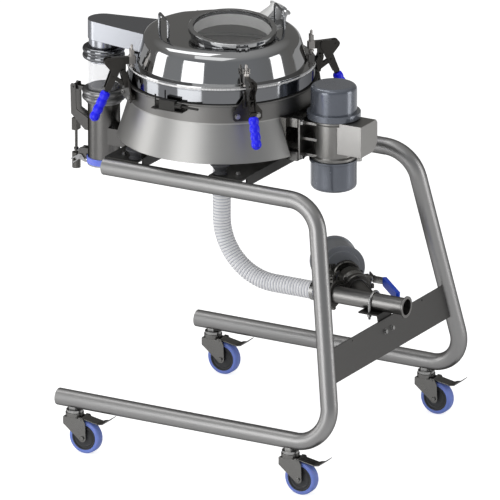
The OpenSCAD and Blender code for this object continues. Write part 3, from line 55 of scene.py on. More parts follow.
def newGroup(name, inputs, outputs):
    group = bpy.data.node_groups.new(name, "ShaderNodeTree")
    for socketName, kind, value in inputs:
        socket = group.interface.new_socket(name=socketName, in_out="INPUT", socket_type=kind)
        socket.default_value = value
    for socketName, kind in outputs:
        group.interface.new_socket(name=socketName, in_out="OUTPUT", socket_type=kind)
    return group, group.nodes.new("NodeGroupInput"), group.nodes.new("NodeGroupOutput")


def feed(tree, socket, value):
    # a number or a colour is set, an output is linked
    if isinstance(value, (int, float)):
        socket.default_value = value
    elif isinstance(value, tuple):
        socket.default_value = (*value, 1)
    else:
        tree.links.new(value, socket)


def mathNode(tree, operation, a, b=None, clamp=False):
    node = tree.nodes.new("ShaderNodeMath")
    node.operation = operation
    node.use_clamp = clamp
    feed(tree, node.inputs[0], a)
    if b is not None:
        feed(tree, node.inputs[1], b)
    return node.outputs[0]


def mixColour(tree, factor, a, b):
    node = tree.nodes.new("ShaderNodeMix")
    node.data_type = "RGBA"
    for index, value in ((0, factor), (6, a), (7, b)):
        feed(tree, node.inputs[index], value)
    return node.outputs[2]


def rampNode(tree, value, low, high):
    # 0 at low, 1 at high and straight between
    node = tree.nodes.new("ShaderNodeMapRange")
    for index, number in enumerate((value, low, high)):
        feed(tree, node.inputs[index], number)
    return node.outputs[0]


def noiseNode(tree, vector, scale, detail):
    node = tree.nodes.new("ShaderNodeTexNoise")
    node.inputs["Detail"].default_value = detail
    feed(tree, node.inputs["Scale"], scale)
    feed(tree, node.inputs["Vector"], vector)
    return node


def scaledTone(tree, tone, factor):
    node = tree.nodes.new("ShaderNodeVectorMath")
    node.operation = "SCALE"
    feed(tree, node.inputs[0], tone)
    feed(tree, node.inputs["Scale"], factor)
    return node.outputs[0]


effectOutputs = [("Colour", "NodeSocketColor"), ("Roughness", "NodeSocketFloat"),
                 ("Height", "NodeSocketFloat")]
brush = {"lineDetail": 4, "cloudScale": 7, "cloudDetail": 3, "cloudShare": 0.6, "roughShare": 0.5}


def buildBrushGroup():
    # fine drawn lines: stretch is the noise scale along each axis, and a small one draws long lines
    group, source, sink = newGroup("brushedLines", [
        ("Stretch", "NodeSocketVector", (400, 400, 8)), ("Contrast", "NodeSocketFloat", 0.15),
        ("Roughness", "NodeSocketFloat", 0.3), ("Tone", "NodeSocketColor", (0.5, 0.5, 0.5, 1))],
        effectOutputs)
    links = group.links
    coords = group.nodes.new("ShaderNodeTexCoord").outputs["Object"]
    scaled = group.nodes.new("ShaderNodeVectorMath")
    scaled.operation = "MULTIPLY"
    links.new(coords, scaled.inputs[0])
    links.new(source.outputs["Stretch"], scaled.inputs[1])
    lines = noiseNode(group, scaled.outputs[0], 1, brush["lineDetail"])
    clouds = noiseNode(group, coords, brush["cloudScale"], brush["cloudDetail"])
    cloudy = mathNode(group, "MULTIPLY", clouds.outputs["Fac"], brush["cloudShare"])
    shade = mathNode(group, "ADD", lines.outputs["Fac"], cloudy)
    offset = mathNode(group, "SUBTRACT", shade, (1 + brush["cloudShare"]) / 2)
    spread = mathNode(group, "MULTIPLY", offset, source.outputs["Contrast"])
    bright = mathNode(group, "ADD", spread, 1.0)
    links.new(scaledTone(group, source.outputs["Tone"], bright), sink.inputs["Colour"])
    uneven = mathNode(group, "MULTIPLY", spread, brush["roughShare"])
    rough = mathNode(group, "ADD", source.outputs["Roughness"], uneven, clamp=True)
    links.new(rough, sink.inputs["Roughness"])
    links.new(lines.outputs["Fac"], sink.inputs["Height"])
    return group


smudge = {"broadDetail": 5, "distortion": 0.8, "fineScale": 900, "fineDetail": 2, "from": 0.35, "to": 0.75,
          "darken": 0.5}


def buildSmudgeGroup():
    # faint wiping marks and dust on polished and painted faces
    group, source, sink = newGroup("handlingMarks", [
        ("Scale", "NodeSocketFloat", 9.0), ("Amount", "NodeSocketFloat", 0.08),
        ("Roughness", "NodeSocketFloat", 0.1), ("Tone", "NodeSocketColor", (0.7, 0.7, 0.7, 1))],
        effectOutputs)
    links = group.links
    coords = group.nodes.new("ShaderNodeTexCoord").outputs["Object"]
    broad = noiseNode(group, coords, source.outputs["Scale"], smudge["broadDetail"])
    broad.inputs["Distortion"].default_value = smudge["distortion"]
    fine = noiseNode(group, coords, smudge["fineScale"], smudge["fineDetail"])
    marks = rampNode(group, broad.outputs["Fac"], smudge["from"], smudge["to"])
    amount = mathNode(group, "MULTIPLY", marks, source.outputs["Amount"])
    darker = mathNode(group, "SUBTRACT", 1.0, mathNode(group, "MULTIPLY", amount, smudge["darken"]))
    links.new(scaledTone(group, source.outputs["Tone"], darker), sink.inputs["Colour"])
    rough = mathNode(group, "ADD", source.outputs["Roughness"], amount, clamp=True)
    links.new(rough, sink.inputs["Roughness"])
    links.new(fine.outputs["Fac"], sink.inputs["Height"])
    return group


brushGroup = buildBrushGroup()
smudgeGroup = buildSmudgeGroup()
print("shader groups built")


def newSurface(name):
    material = bpy.data.materials.new(name)
    material.use_nodes = True
    return material, material.node_tree, material.node_tree.nodes["Principled BSDF"]


def axisValues(tree, space="Object"):
    # x, y and z of the texture coordinates
    coords = tree.nodes.new("ShaderNodeTexCoord")
    parts = tree.nodes.new("ShaderNodeSeparateXYZ")
    tree.links.new(coords.outputs[space], parts.inputs[0])
    return parts.outputs


def zoneMask(tree, zone):
    # 1 within a radius of the upright axes at (+-x, +-y) from the sieve's axis, else 0
    axes = axisValues(tree)
    across = mathNode(tree, "ADD", axes[0], middleX / 1000)
    steps = []
    for value, centre in ((across, zone["x"]), (axes[1], zone["y"])):
        offset = mathNode(tree, "SUBTRACT", mathNode(tree, "ABSOLUTE", value), centre / 1000)
        steps.append(mathNode(tree, "MULTIPLY", offset, offset))
    reach = mathNode(tree, "SQRT", mathNode(tree, "ADD", *steps))
    return mathNode(tree, "LESS_THAN", reach, zone["radius"] / 1000)


def heightMask(tree, height):
    # 1 above a height in metres, else 0
    return mathNode(tree, "GREATER_THAN", axisValues(tree)[2], height)


# what a look has where it says nothing
plainLook = {"metallic": 0, "specular": 0.5, "tint": 1, "coat": 0, "coatRough": 0.1, "soft": 0,
             "softScale": 0.004, "bump": 0.05, "bumpDepth": 0.0002, "edge": 0, "contrast": 0.15, "scale": 9,
             "marks": 0.08}


def finishMaterial(name, given):
    # one Principled surface whose colour, roughness and height come from a shared group
    look = {**plainLook, **given}
    material, tree, surface = newSurface(name)
    effect = tree.nodes.new("ShaderNodeGroup")
    effect.node_tree = brushGroup if "stretch" in look else smudgeGroup
    effect.inputs["Tone"].default_value = (*look["tone"], 1)
    effect.inputs["Roughness"].default_value = look["rough"]
    if "stretch" in look:
        effect.inputs["Stretch"].default_value = look["stretch"]
        effect.inputs["Contrast"].default_value = look["contrast"]
    else:
        effect.inputs["Scale"].default_value = look["scale"]
        effect.inputs["Amount"].default_value = look["marks"]
    colour = effect.outputs["Colour"]
    if "zone" in look:
        colour = mixColour(tree, zoneMask(tree, look["zone"]), colour, look["zoneTone"])
    # painted shade: above the given height the same material takes a darker tone
    if "above" in look:
        colour = mixColour(tree, heightMask(tree, look["above"]), colour, look["aboveTone"])
    tree.links.new(colour, surface.inputs["Base Color"])
    tree.links.new(effect.outputs["Roughness"], surface.inputs["Roughness"])
    surface.inputs["Metallic"].default_value = look["metallic"]
    surface.inputs["Specular IOR Level"].default_value = look["specular"]
    surface.inputs["Specular Tint"].default_value = (*[look["tint"]] * 3, 1)
    surface.inputs["Coat Weight"].default_value = look["coat"]
    surface.inputs["Coat Roughness"].default_value = look["coatRough"]
    surface.inputs["Subsurface Weight"].default_value = look["soft"]
    surface.inputs["Subsurface Scale"].default_value = look["softScale"]
    bump = tree.nodes.new("ShaderNodeBump")
    bump.inputs["Strength"].default_value = look["bump"]
    bump.inputs["Distance"].default_value = look["bumpDepth"]
    tree.links.new(effect.outputs["Height"], bump.inputs["Height"])
    if look["edge"]:
        edge = tree.nodes.new("ShaderNodeBevel")
        edge.samples = 4
        edge.inputs["Radius"].default_value = look["edge"]
        tree.links.new(edge.outputs[0], bump.inputs["Normal"])
    tree.links.new(bump.outputs[0], surface.inputs["Normal"])
    return material


# tone and tint are linear, bump depths, edge radii and the height above are metres; a look with stretch is
# brushed, the others carry faint marks; zone gives a part of the piece a second tone, above darkens the part
# over that height as painted shade
looks = {
    "frameTube": {"tone": (0.32, 0.317, 0.314), "rough": 0.4, "metallic": 1, "tint": 0.05,
                  "stretch": (30, 300, 300), "contrast": 0.04, "bump": 0.008},
    "sieveSheet": {"tone": (0.37, 0.366, 0.357), "rough": 0.42, "metallic": 1, "tint": 0.2,
                   "stretch": (14, 14, 900), "contrast": 0.08, "bump": 0.04, "edge": 0.0008,
                   # the skirt's upper band is the same steel darkened as painted shade
                   "above": 1.0165, "aboveTone": (0.19, 0.187, 0.181)},
    "ringSteel": {"tone": (0.21, 0.215, 0.225), "rough": 0.07, "metallic": 1, "tint": 0.4,
                  "marks": 0.03, "bump": 0.008, "edge": 0.0012},
    "polishedSteel": {"tone": (0.37, 0.373, 0.376), "rough": 0.05, "metallic": 1, "tint": 0.8,
                      "marks": 0.03, "bump": 0.008, "edge": 0.0012},
    "chuteSheet": {"tone": (0.33, 0.34, 0.365), "rough": 0.24, "metallic": 1, "tint": 0.6,
                   "stretch": (20, 300, 300), "contrast": 0.04, "bump": 0.01, "edge": 0.001},
    "tubeSheet": {"tone": (0.15, 0.147, 0.143), "rough": 0.24, "metallic": 1, "tint": 0.15,
                  "stretch": (500, 500, 12), "contrast": 0.05, "bump": 0.02, "edge": 0.0008},
    "collarSteel": {"tone": (0.24, 0.24, 0.242), "rough": 0.3, "metallic": 1, "tint": 0.3,
                    "marks": 0.06, "bump": 0.02, "edge": 0.001},
    "pipeSheet": {"tone": (0.28, 0.275, 0.268), "rough": 0.34, "metallic": 1, "tint": 0.08,
                  "stretch": (12, 500, 500), "contrast": 0.05, "bump": 0.02, "edge": 0.0008},
    "darkPlate": {"tone": (0.03, 0.029, 0.027), "rough": 0.4, "metallic": 0.6, "marks": 0.12,
                  "bump": 0.1, "edge": 0.0008},
    "crossPlate": {"tone": (0.085, 0.083, 0.08), "rough": 0.42, "metallic": 0.7,
                   "stretch": (500, 12, 500), "contrast": 0.14, "bump": 0.05, "edge": 0.0008},
    "zincSteel": {"tone": (0.38, 0.378, 0.372), "rough": 0.22, "metallic": 1, "tint": 0.4,
                  "marks": 0.14, "scale": 40, "bump": 0.06, "edge": 0.0006},
    "wireSteel": {"tone": (0.34, 0.345, 0.355), "rough": 0.2, "metallic": 1, "tint": 0.4, "marks": 0.1,
                  "scale": 40, "bump": 0.04},
    "forkSteel": {"tone": (0.2, 0.197, 0.19), "rough": 0.2, "metallic": 1, "tint": 0.4, "marks": 0.1,
                  "scale": 40, "bump": 0.04, "edge": 0.003},
    "platePale": {"tone": (0.36, 0.36, 0.365), "rough": 0.34, "metallic": 1, "marks": 0.12, "scale": 30,
                  "bump": 0.06, "edge": 0.0006},
    "darkSteel": {"tone": (0.12, 0.117, 0.11), "rough": 0.24, "metallic": 1, "tint": 0.5, "marks": 0.14,
                  "scale": 40, "bump": 0.06, "edge": 0.0006},
    "clampSteel": {"tone": (0.05, 0.047, 0.043), "rough": 0.28, "metallic": 0.8, "marks": 0.1,
                   "scale": 30, "bump": 0.05, "edge": 0.0009,
                   "zone": {"x": 190.9, "y": 190.9, "radius": 11.5}, "zoneTone": (0.42, 0.4, 0.38)},
    "blackRubber": {"tone": (0.035, 0.036, 0.04), "rough": 0.6, "marks": 0.2, "scale": 30, "bump": 0.3},
    "hubPlastic": {"tone": (0.03, 0.031, 0.034), "rough": 0.42, "marks": 0.15, "scale": 40,
                   "bump": 0.15},
    "softTyre": {"tone": (0.19, 0.27, 0.72), "rough": 0.42, "marks": 0.18, "scale": 35, "bump": 0.2,
                 "soft": 0.15},
    "blueGrip": {"tone": (0.008, 0.008, 0.9), "rough": 0.33, "marks": 0.02, "scale": 60, "bump": 0.01,
                 "specular": 0.42},
    "valveGrip": {"tone": (0.004, 0.06, 0.6), "rough": 0.4, "marks": 0.05, "scale": 60, "bump": 0.02,
                  "specular": 0.3},
    "sealSilicone": {"tone": (0.17, 0.23, 0.85), "rough": 0.3, "marks": 0.08, "scale": 40, "bump": 0.05,
                     "soft": 0.2},
    "motorPaint": {"tone": (0.13, 0.143, 0.172), "rough": 0.2, "marks": 0.1, "scale": 30, "bump": 0.2,
                   "bumpDepth": 0.0004, "coat": 0.6, "coatRough": 0.08, "edge": 0.002, "metallic": 0.5},
    "boxSteel": {"tone": (0.42, 0.413, 0.4), "rough": 0.34, "metallic": 1, "tint": 0.2, "marks": 0.03,
                 "scale": 12, "bump": 0.01, "edge": 0.002},
    # a brighter, less mirror-like copy of the lid's steel for its inside: painted light
    "lidInsidePaintedLight": {"tone": (0.8, 0.8, 0.79), "rough": 0.42, "metallic": 0.4, "marks": 0.04,
                   "bump": 0.01},
    "castAlloy": {"tone": (0.27, 0.265, 0.255), "rough": 0.3, "metallic": 1, "tint": 0.4, "marks": 0.12,
                  "scale": 60, "bump": 0.2, "bumpDepth": 0.0003, "edge": 0.0015},
    "whiteHose": {"tone": (0.93, 0.93, 0.94), "rough": 0.42, "marks": 0.02, "scale": 30, "bump": 0.01},
    # the hose's own white darkened for the grooves between the ribs: painted shade
    "hoseGrooveShade": {"tone": (0.5, 0.51, 0.57), "rough": 0.5, "marks": 0.02, "scale": 30, "bump": 0.01},
    "filterCover": {"tone": (0.26, 0.27, 0.29), "rough": 0.36, "metallic": 0.6, "marks": 0.1,
                    "scale": 25, "bump": 0.12, "edge": 0.001},
}
finishes = {name: finishMaterial(name, look) for name, look in looks.items()}


glass = {"sightGlass": {"tone": (0.62, 0.62, 0.62), "rough": 0.05, "opacity": 0.06},
         "clearSleeve": {"tone": (0.9, 0.91, 0.95), "rough": 0.08, "opacity": 0.12}}
glassMarks = 0.03
glassSpecular = 0.8


def glassMaterial(name, pane):
    # thin clear pane: mostly see-through, with its own gloss
    material, tree, surface = newSurface(name)
    effect = tree.nodes.new("ShaderNodeGroup")
    effect.node_tree = smudgeGroup
    effect.inputs["Tone"].default_value = (*pane["tone"], 1)
    effect.inputs["Roughness"].default_value = pane["rough"]
    effect.inputs["Amount"].default_value = glassMarks
    tree.links.new(effect.outputs["Colour"], surface.inputs["Base Color"])
    tree.links.new(effect.outputs["Roughness"], surface.inputs["Roughness"])
    surface.inputs["Alpha"].default_value = pane["opacity"]
    surface.inputs["Specular IOR Level"].default_value = glassSpecular
    return material


finishes.update({name: glassMaterial(name, pane) for name, pane in glass.items()})


# the tone between the wires is painted shade for the openings
weave = {"radiansPerMetre": 900, "openingShade": (0.36, 0.357, 0.352), "wire": (0.85, 0.845, 0.84), "metallic": 0.2,
         "rough": 0.4, "bump": 0.4, "bumpDepth": 0.0004}


def weaveMaterial():
    # woven wire: bright wires, with the openings between them painted a darker grey as shade, seen from
    # above as a fine grid
    material, tree, surface = newSurface("sieveWeave")
    axes = axisValues(tree)
    turns = [mathNode(tree, "MULTIPLY", axes[k], weave["radiansPerMetre"]) for k in (0, 1)]
    waves = [mathNode(tree, "ABSOLUTE", mathNode(tree, "SINE", turn)) for turn in turns]
    wires = mathNode(tree, "MAXIMUM", *waves)
    tree.links.new(mixColour(tree, wires, weave["openingShade"], weave["wire"]), surface.inputs["Base Color"])
    surface.inputs["Metallic"].default_value = weave["metallic"]
    surface.inputs["Roughness"].default_value = weave["rough"]
    bump = tree.nodes.new("ShaderNodeBump")
    bump.inputs["Strength"].default_value = weave["bump"]
    bump.inputs["Distance"].default_value = weave["bumpDepth"]
    tree.links.new(wires, bump.inputs["Height"])
    tree.links.new(bump.outputs[0], surface.inputs["Normal"])
    return material


finishes["sieveWeave"] = weaveMaterial()

nodesOfFinish = {
    "frameTube": ["side_frame_front", "side_frame_back"],
    "crossPlate": ["cross_plate"],
    "darkPlate": ["sieve_beams", "lid_switch", "pipe_bracket"],
    "zincSteel": ["frame_bolts", "caster_stems", "sieve_bolts", "motor_rotor", "hose_fittings",
                  "u_bolt", "valve_lever"],
    "blackRubber": ["isolators"],
    "sieveSheet": ["sieve_base"],
    "darkSteel": ["motor_plate", "flap_link", "pipe_clamps", "valve_body"],
    "ringSteel": ["middle_ring", "chute_collar"],
    "sieveWeave": ["mesh_screen"],
    "polishedSteel": ["lid", "viewport_band"],
    "sightGlass": ["viewport_glass"],
    "wireSteel": ["lid_handles"],
    "clampSteel": ["clamp_brackets"],
    "chuteSheet": ["oversize_chute"],
    "clearSleeve": ["clear_sleeve"],
    "collarSteel": ["drop_ring"],
    "tubeSheet": ["drop_tube"],
    "sealSilicone": ["seal_ring"],
    "platePale": ["drop_flap"],
    "castAlloy": ["motor_body"],
    "motorPaint": ["motor_caps"],
    "boxSteel": ["terminal_box"],
    "whiteHose": ["product_hose"],
    "pipeSheet": ["outlet_pipe"],
    "valveGrip": ["valve_grip"],
    "filterCover": ["filter_drum"],
}
nodeFinish = {node: finish for finish, group in nodesOfFinish.items() for node in group}
cornerFinish = {"caster_fork_": "forkSteel", "caster_wheel_": "hubPlastic", "caster_pedal_": "forkSteel",
                "clamp_arm_": "clampSteel", "clamp_handle_": "clampSteel"}
nodeFinish.update({start + side: finish for start, finish in cornerFinish.items() for side in sides})
for nodeName, finishName in nodeFinish.items():
    mesh = nodes[nodeName].data
    for index in range(max(1, len(mesh.materials))):
        if index < len(mesh.materials):
            mesh.materials[index] = finishes[finishName]
        else:
            mesh.materials.append(finishes[finishName])
print("materials set on", len(nodeFinish), "nodes")


def meshObject(name, build, finish, sharp=35):
    data = bpy.data.meshes.new(name)
    work = bmesh.new()
    build(work)
    bmesh.ops.remove_doubles(work, verts=work.verts, dist=1e-6)
    bmesh.ops.recalc_face_normals(work, faces=work.faces)
    work.to_mesh(data)
    work.free()
    if "custom_normal" in data.attributes:
        data.attributes.remove(data.attributes["custom_normal"])
    data.shade_smooth()
    data.set_sharp_from_angle(angle=radians(sharp))
    obj = bpy.data.objects.new(name, data)
    bpy.context.scene.collection.objects.link(obj)
    data.materials.append(finishes[finish])
    return obj


def revolve(work, profile, matrix, steps):
    # profile: (radius, height) in mm, turned about the Z of matrix
    rings = []
    for step in range(steps):
        turn = 2 * pi * step / steps
        rings.append([work.verts.new(matrix @ mm(r * cos(turn), r * sin(turn), h)) if r > 1e-6 else None
                      for r, h in profile])
    tips = {k: work.verts.new(matrix @ mm(0, 0, h)) for k, (r, h) in enumerate(profile) if r <= 1e-6}
    for step in range(steps):
        this, after = rings[step], rings[(step + 1) % steps]
        for k in range(len(profile) - 1):
            corners = [this[k] or tips[k], this[k + 1] or tips[k + 1],
                       after[k + 1] or tips[k + 1], after[k] or tips[k]]
            corners = [c for i, c in enumerate(corners) if c not in corners[:i]]
            if len(corners) >= 3:
                work.faces.new(corners)


def arcPoints(centre, radius, start, end, count):
    return [(centre[0] + radius * cos(radians(start + (end - start) * k / count)),
             centre[1] + radius * sin(radians(start + (end - start) * k / count))) for k in range(count + 1)]


def sweep(work, path, radii, steps=48, marks=None):
    # a round skin of changing radius along path, both in metres, kept from twisting
    # marks gives the material of each stretch of the path
    up = Vector((0, 1, 0))
    rings = []
    for k, point in enumerate(path):
        ahead = path[min(k + 1, len(path) - 1)] - path[max(k - 1, 0)]
        ahead.normalize()
        across = up.cross(ahead).normalized()
        over = ahead.cross(across)
        spokes = [cos(2 * pi * s / steps) * across + sin(2 * pi * s / steps) * over for s in range(steps)]
        rings.append([work.verts.new(point + radii[k] * spoke) for spoke in spokes])
    for k, (a, b) in enumerate(zip(rings, rings[1:])):
        for s in range(steps):
            face = work.faces.new((a[s], a[(s + 1) % steps], b[(s + 1) % steps], b[s]))
            face.material_index = marks[k] if marks else 0
    return rings


# below the last share of a rib's height a face takes the painted groove shade
hose = {"outer": 27.0, "valley": 24.9, "bore": 24.4, "pitch": 9.4, "top": 878.0, "bend": 175.0,
        "axisZ": 469.0, "endX": 330.0, "ribSteps": 8, "ribPower": 0.55, "grooveShadeShare": 0.12}


def ribHeight(s):
    # 1 on a rib and 0 in a groove, by the distance along the hose
    return 0.5 + 0.5 * cos(2 * pi * s / hose["pitch"])


def buildHose(work):
    bendZ = hose["axisZ"] + hose["bend"]
    drop = hose["top"] - bendZ
    turn = hose["bend"] * pi / 2
    run = hose["endX"] - hose["bend"]
    total = drop + turn + run
    count = int(total / hose["pitch"] * hose["ribSteps"])
    path, radii, grooveShadeMarks = [], [], []
    for k in range(count + 1):
        s = total * k / count
        if s < drop:
            point = place(0, 0, hose["top"] - s)
        elif s < drop + turn:
            a = (s - drop) / hose["bend"]
            point = place(hose["bend"] * (1 - cos(a)), 0, bendZ - hose["bend"] * sin(a))
        else:
            point = place(hose["bend"] + s - drop - turn, 0, hose["axisZ"])
        rise = (hose["outer"] - hose["valley"]) * ribHeight(s) ** hose["ribPower"]
        path.append(point)
        radii.append((hose["valley"] + rise) / 1000)
        # faces deep in a groove take the second material, painted shade
        grooveShadeMarks.append(1 if ribHeight(s + total / count / 2) < hose["grooveShadeShare"] else 0)
    outer = sweep(work, path, radii, marks=grooveShadeMarks)
    inner = sweep(work, path, [hose["bore"] / 1000] * len(path))
    for a, b in ((outer[0], inner[0]), (outer[-1], inner[-1])):
        for s in range(len(a)):
            t = (s + 1) % len(a)
            work.faces.new((a[s], a[t], b[t], b[s]))


ribbedHose = meshObject("ribbedHose", buildHose, "whiteHose", sharp=80)
# the second material paints shade into the hose's grooves
ribbedHose.data.materials.append(finishes["hoseGrooveShade"])
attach(ribbedHose, "trolley")
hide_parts("product_hose")
print("hose built")


wheel = {"radius": 50.0, "half": 15.0, "tyre": 12.0, "round": 7.0, "trail": 38.0, "leftX": -262.0,
         "rightX": 460.0, "railY": 405.0, "crownTurn": 14, "lip": 0.8, "lipDepth": 1.2, "hubSlack": 0.2,
         "hubSteps": [(4.1, 4), (9, 4), (10, 3), (11.5, -3.5), (14, -4.5), (25, -4.5), (27, -3),
                      (29, -2.6), (31, -4), (33.5, -3.4), (35, -0.4)]}


def tyreProfile():
    r, h, rounding, turn = wheel["radius"], wheel["half"], wheel["round"], wheel["crownTurn"]
    inner, lip, low = r - wheel["tyre"], r - wheel["tyre"] + wheel["lip"], h - wheel["lipDepth"]
    crown = arcPoints((r - rounding, -h + rounding), rounding, -90, -turn, 6) + [(r, 0)]
    crown += arcPoints((r - rounding, h - rounding), rounding, turn, 90, 6)
    return [(inner, -low), (lip, -h)] + crown + [(lip, h), (inner, low), (inner, -low)]


def hubProfile():
    # from the axle out, with each step's height over the wheel's half width
    rim = wheel["radius"] - wheel["tyre"] - wheel["hubSlack"]
    face = [(r, wheel["half"] + step) for r, step in wheel["hubSteps"] + [(rim, 0)]]
    return face + [(r, -h) for r, h in reversed(face)] + [face[0]]


def wheelPlace(index):
    x = wheel["leftX"] if signX[index] < 0 else wheel["rightX"]
    return Matrix.Translation(place(x + wheel["trail"], signY[index] * wheel["railY"], wheel["radius"])) @ \
        Matrix.Rotation(radians(90), 4, "X")


for index, side in enumerate(sides):
    spot = wheelPlace(index)
    tyre = meshObject("softTyre." + side, lambda work: revolve(work, tyreProfile(), spot, 96), "softTyre")
    hub = meshObject("wheelHub." + side, lambda work: revolve(work, hubProfile(), spot, 72), "hubPlastic",
                     sharp=25)
    for piece in (tyre, hub):
        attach(piece, "wheel_" + side)
        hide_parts("caster_wheel_" + side)
print("wheels built")


grip = {"top": (346.0, 1057.3), "lean": 26.0, "length": 92.0, "radius": 14.9, "groove": 2.4, "bulges": 4,
        "bulgeSteps": 12, "fullness": 0.75, "ballFrom": 12,
        "neck": [(5.1, 0.8), (9.4, 0.8), (12.0, 2.4), (13.6, 5.0), (14.4, 8.0)]}


def gripProfile():
    # from the middle of the first bulge to the middle of the last, then a round end
    points = list(grip["neck"])
    steps = grip["bulgeSteps"]
    count = steps * grip["bulges"]
    for k in range(steps // 2, count - steps // 2 + 1):
        swell = abs(sin(pi * k / steps)) ** grip["fullness"]
        points.append((grip["radius"] - grip["groove"] * (1 - swell), 1 + grip["length"] * k / count))
    ball = arcPoints((0, points[-1][1]), grip["radius"], grip["ballFrom"], 90, 7)
    return points + [(abs(r), h) for r, h in ball[:-1]] + [(0, ball[-1][1])]


for index, side in enumerate(sides):
    turn = Matrix.Rotation(radians(clampTurn[index]), 4, "Z")
    axisSpot = Matrix.Translation(mm(-middleX, 0, 0)) @ turn @ \
        Matrix.Translation(mm(grip["top"][0], 0, grip["top"][1])) @ \
        Matrix.Rotation(radians(180 - grip["lean"]), 4, "Y")
    piece = meshObject("clampGrip." + side, lambda work: revolve(work, gripProfile(), axisSpot, 48),
                       "blueGrip", sharp=60)
    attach(piece, "clamp_handle_" + side)
print("grips built")


lidCurve = {"wallZ": 1127.3, "wallHeight": 70.0, "wallTop": 229.0, "wallFoot": 249.0, "sheet": 3.0,
            "tight": 24.0, "wide": 40.0, "chuteHalf": 27.0, "blend": 14.0, "slack": 0.15,
            "inward": -0.3, "down": -0.6}


def markLidInside(work):
    # faces that look to the lid's axis or down take the second material, a brighter copy of the lid's steel
    # that paints light into the lid's inside
    for face in work.faces:
        spot = face.calc_center_median() + mm(middleX, 0, 0)
        outward = (spot.x * face.normal.x + spot.y * face.normal.y) / max(hypot(spot.x, spot.y), 0.001)
        inside = outward < lidCurve["inward"] or face.normal.z < lidCurve["down"]
        face.material_index = 1 if inside else 0


def buildLid(work):
    # the lid with its shoulder eased to a wider curve, except beside the chute
    work.from_mesh(nodes["lid"].data)
    work.transform(nodes["lid"].matrix_world)
    markLidInside(work)
    slope = atan2(lidCurve["wallFoot"] - lidCurve["wallTop"], lidCurve["wallHeight"])
    tight = Vector((lidCurve["wallTop"], lidCurve["wallZ"] + lidCurve["wallHeight"])) - \
        lidCurve["tight"] * Vector((cos(slope), sin(slope)))
    for vert in work.verts:
        x, y, z = vert.co.x * 1000 + middleX, vert.co.y * 1000, vert.co.z * 1000
        out = Vector((hypot(x, y), z)) - tight
        angle = atan2(out.y, out.x)
        if not slope - 0.01 < angle < radians(89) or out.x < 0:
            continue
        depth = lidCurve["tight"] - out.length
        if not -lidCurve["slack"] < depth < lidCurve["sheet"] + lidCurve["slack"]:
            continue
        offChute = abs(180 - abs(atan2(y, x) * 180 / pi))
        share = min(1, max(0, (offChute - lidCurve["chuteHalf"]) / lidCurve["blend"]))
        radius = lidCurve["tight"] + (lidCurve["wide"] - lidCurve["tight"]) * share * share * (3 - 2 * share)
        grow = radius - lidCurve["tight"]
        # the new centre keeps the curve touching both the wall and the top
        centre = tight - Vector((grow * (1 - sin(slope)) / cos(slope), grow))
        spot = centre + (radius - depth) * Vector((cos(angle), sin(angle)))
        scale = spot.x / hypot(x, y)
        vert.co = place(x * scale, y * scale, spot.y)


lidShell = meshObject("lidShell", buildLid, "polishedSteel")
# the lid's inside takes the brighter copy of its steel, painted light
lidShell.data.materials.append(finishes["lidInsidePaintedLight"])
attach(lidShell, "sieve")
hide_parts("lid")
print("lid built")


studio = {"target": (94.66, 0.0, 556.5), "back": (0.4696, -0.8233, 0.3190), "lens": 900.0, "sensor": 36.0,
          "width": 1457.7, "near": 1, "far": 200}


def buildCamera():
    data = bpy.data.cameras.new("photoView")
    data.lens = studio["lens"]
    data.sensor_width = studio["sensor"]
    data.clip_start = studio["near"]
    data.clip_end = studio["far"]
    distance = studio["width"] / 1000 * studio["lens"] / studio["sensor"]
    back = Vector(studio["back"]).normalized()
    obj = bpy.data.objects.new("photoView", data)
    bpy.context.scene.collection.objects.link(obj)
    obj.location = place(*studio["target"]) + back * distance
    obj.rotation_euler = back.to_track_quat("Z", "Y").to_euler()
    bpy.context.scene.camera = obj


# each panel: name, bearing in degrees, size in metres, radiance
windows = {"distance": 3.0, "low": 0.15, "panels": [
    ("windowLeft", -152, (1.0, 2.0), 3.0), ("windowFront", -100, (1.6, 2.0), 3.0),
    ("windowRight", 20, (1.0, 2.0), 3.0)]}
# each panel: name, size in metres, radiance, place in metres
ceiling = [("topSoftbox", (3.0, 1.3), 2.6, (-1.7, -0.35, 4.2)),
           ("frontSoftbox", (3.2, 2.2), 1.3, (0.6, -2.6, 4.4))]


def softPanel(name, size, radiance, spot):
    data = bpy.data.lights.new(name, "AREA")
    data.shape = "RECTANGLE"
    data.size, data.size_y = size
    data.energy = radiance * pi * size[0] * size[1]
    obj = bpy.data.objects.new(name, data)
    bpy.context.scene.collection.objects.link(obj)
    obj.location = spot
    return obj


def standingPanel(name, bearing, size, radiance):
    # an upright panel that stands at a bearing round the sieve and faces it
    way = Vector((cos(radians(bearing)), sin(radians(bearing)), 0))
    spot = way * windows["distance"] + Vector((0, 0, windows["low"] + size[1] / 2))
    obj = softPanel(name, size, radiance, spot)
    obj.rotation_euler = way.to_track_quat("Z", "Y").to_euler()
    obj.visible_camera = False


ground = {"size": 60, "drop": 0.0005, "tone": (0.6, 0.6, 0.605), "rough": 0.9, "specular": 0.1, "seen": 0.78,
          "mirrored": 0.35}


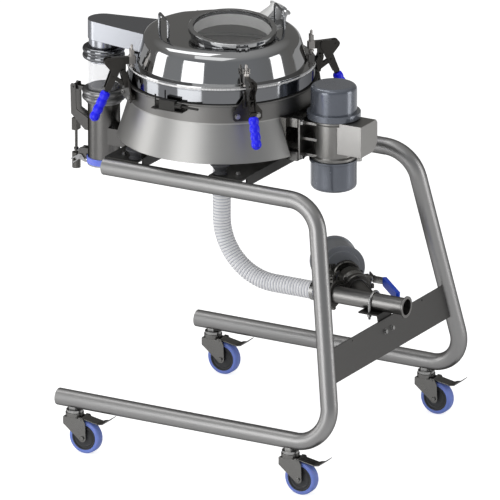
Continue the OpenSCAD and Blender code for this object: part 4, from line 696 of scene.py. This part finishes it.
def buildFloor():
    data = bpy.data.meshes.new("studioFloor")
    work = bmesh.new()
    bmesh.ops.create_grid(work, x_segments=1, y_segments=1, size=ground["size"])
    work.to_mesh(data)
    work.free()
    floor = bpy.data.objects.new("studioFloor", data)
    bpy.context.scene.collection.objects.link(floor)
    floor.location.z = -ground["drop"]
    material, tree, surface = newSurface("paleFloor")
    surface.inputs["Base Color"].default_value = (*ground["tone"], 1)
    surface.inputs["Roughness"].default_value = ground["rough"]
    surface.inputs["Specular IOR Level"].default_value = ground["specular"]
    path = tree.nodes.new("ShaderNodeLightPath")
    # brightest where it is looked at or seen through glass, dimmer where metal mirrors it
    direct = mathNode(tree, "MAXIMUM", path.outputs["Is Camera Ray"], path.outputs["Is Transmission Ray"])
    mirrored = mathNode(tree, "MULTIPLY", path.outputs["Is Glossy Ray"], ground["mirrored"])
    strength = mathNode(tree, "ADD", mathNode(tree, "MULTIPLY", direct, ground["seen"]), mirrored)
    glow = tree.nodes.new("ShaderNodeEmission")
    glow.inputs["Color"].default_value = (1, 1, 1, 1)
    tree.links.new(strength, glow.inputs["Strength"])
    both = tree.nodes.new("ShaderNodeAddShader")
    tree.links.new(surface.outputs[0], both.inputs[0])
    tree.links.new(glow.outputs[0], both.inputs[1])
    tree.links.new(both.outputs[0], tree.nodes["Material Output"].inputs["Surface"])
    data.materials.append(material)


# tones of the room, the way that counts as ahead, and where each ramp starts and ends
room = {"back": (0.25, 0.246, 0.237), "front": (0.34, 0.35, 0.365), "left": (0.6, 0.615, 0.63),
        "top": (0.6, 0.6, 0.6), "ahead": (0.5, -0.87), "frontRamp": (-0.35, 0.7), "leftRamp": (-0.15, -0.85),
        "topRamp": (0.45, 0.95)}


def buildWorld():
    # a room that is brighter in front and to the left, dim behind and soft overhead
    world = bpy.data.worlds.new("studioWorld")
    world.use_nodes = True
    bpy.context.scene.world = world
    tree = world.node_tree
    axes = axisValues(tree, "Generated")
    ahead = mathNode(tree, "ADD", *[mathNode(tree, "MULTIPLY", axes[k], room["ahead"][k]) for k in (0, 1)])
    front = rampNode(tree, ahead, *room["frontRamp"])
    level = mixColour(tree, front, room["back"], room["front"])
    left = mathNode(tree, "MULTIPLY", front, rampNode(tree, axes[0], *room["leftRamp"]))
    level = mixColour(tree, left, level, room["left"])
    high = rampNode(tree, axes[2], *room["topRamp"])
    tree.links.new(mixColour(tree, high, level, room["top"]), tree.nodes["Background"].inputs["Color"])
    tree.nodes["Background"].inputs["Strength"].default_value = 1.0


buildCamera()
buildFloor()
buildWorld()
for panel in windows["panels"]:
    standingPanel(*panel)
for panel in ceiling:
    softPanel(*panel)
bpy.context.scene.view_settings.view_transform = "Standard"
print("studio built")
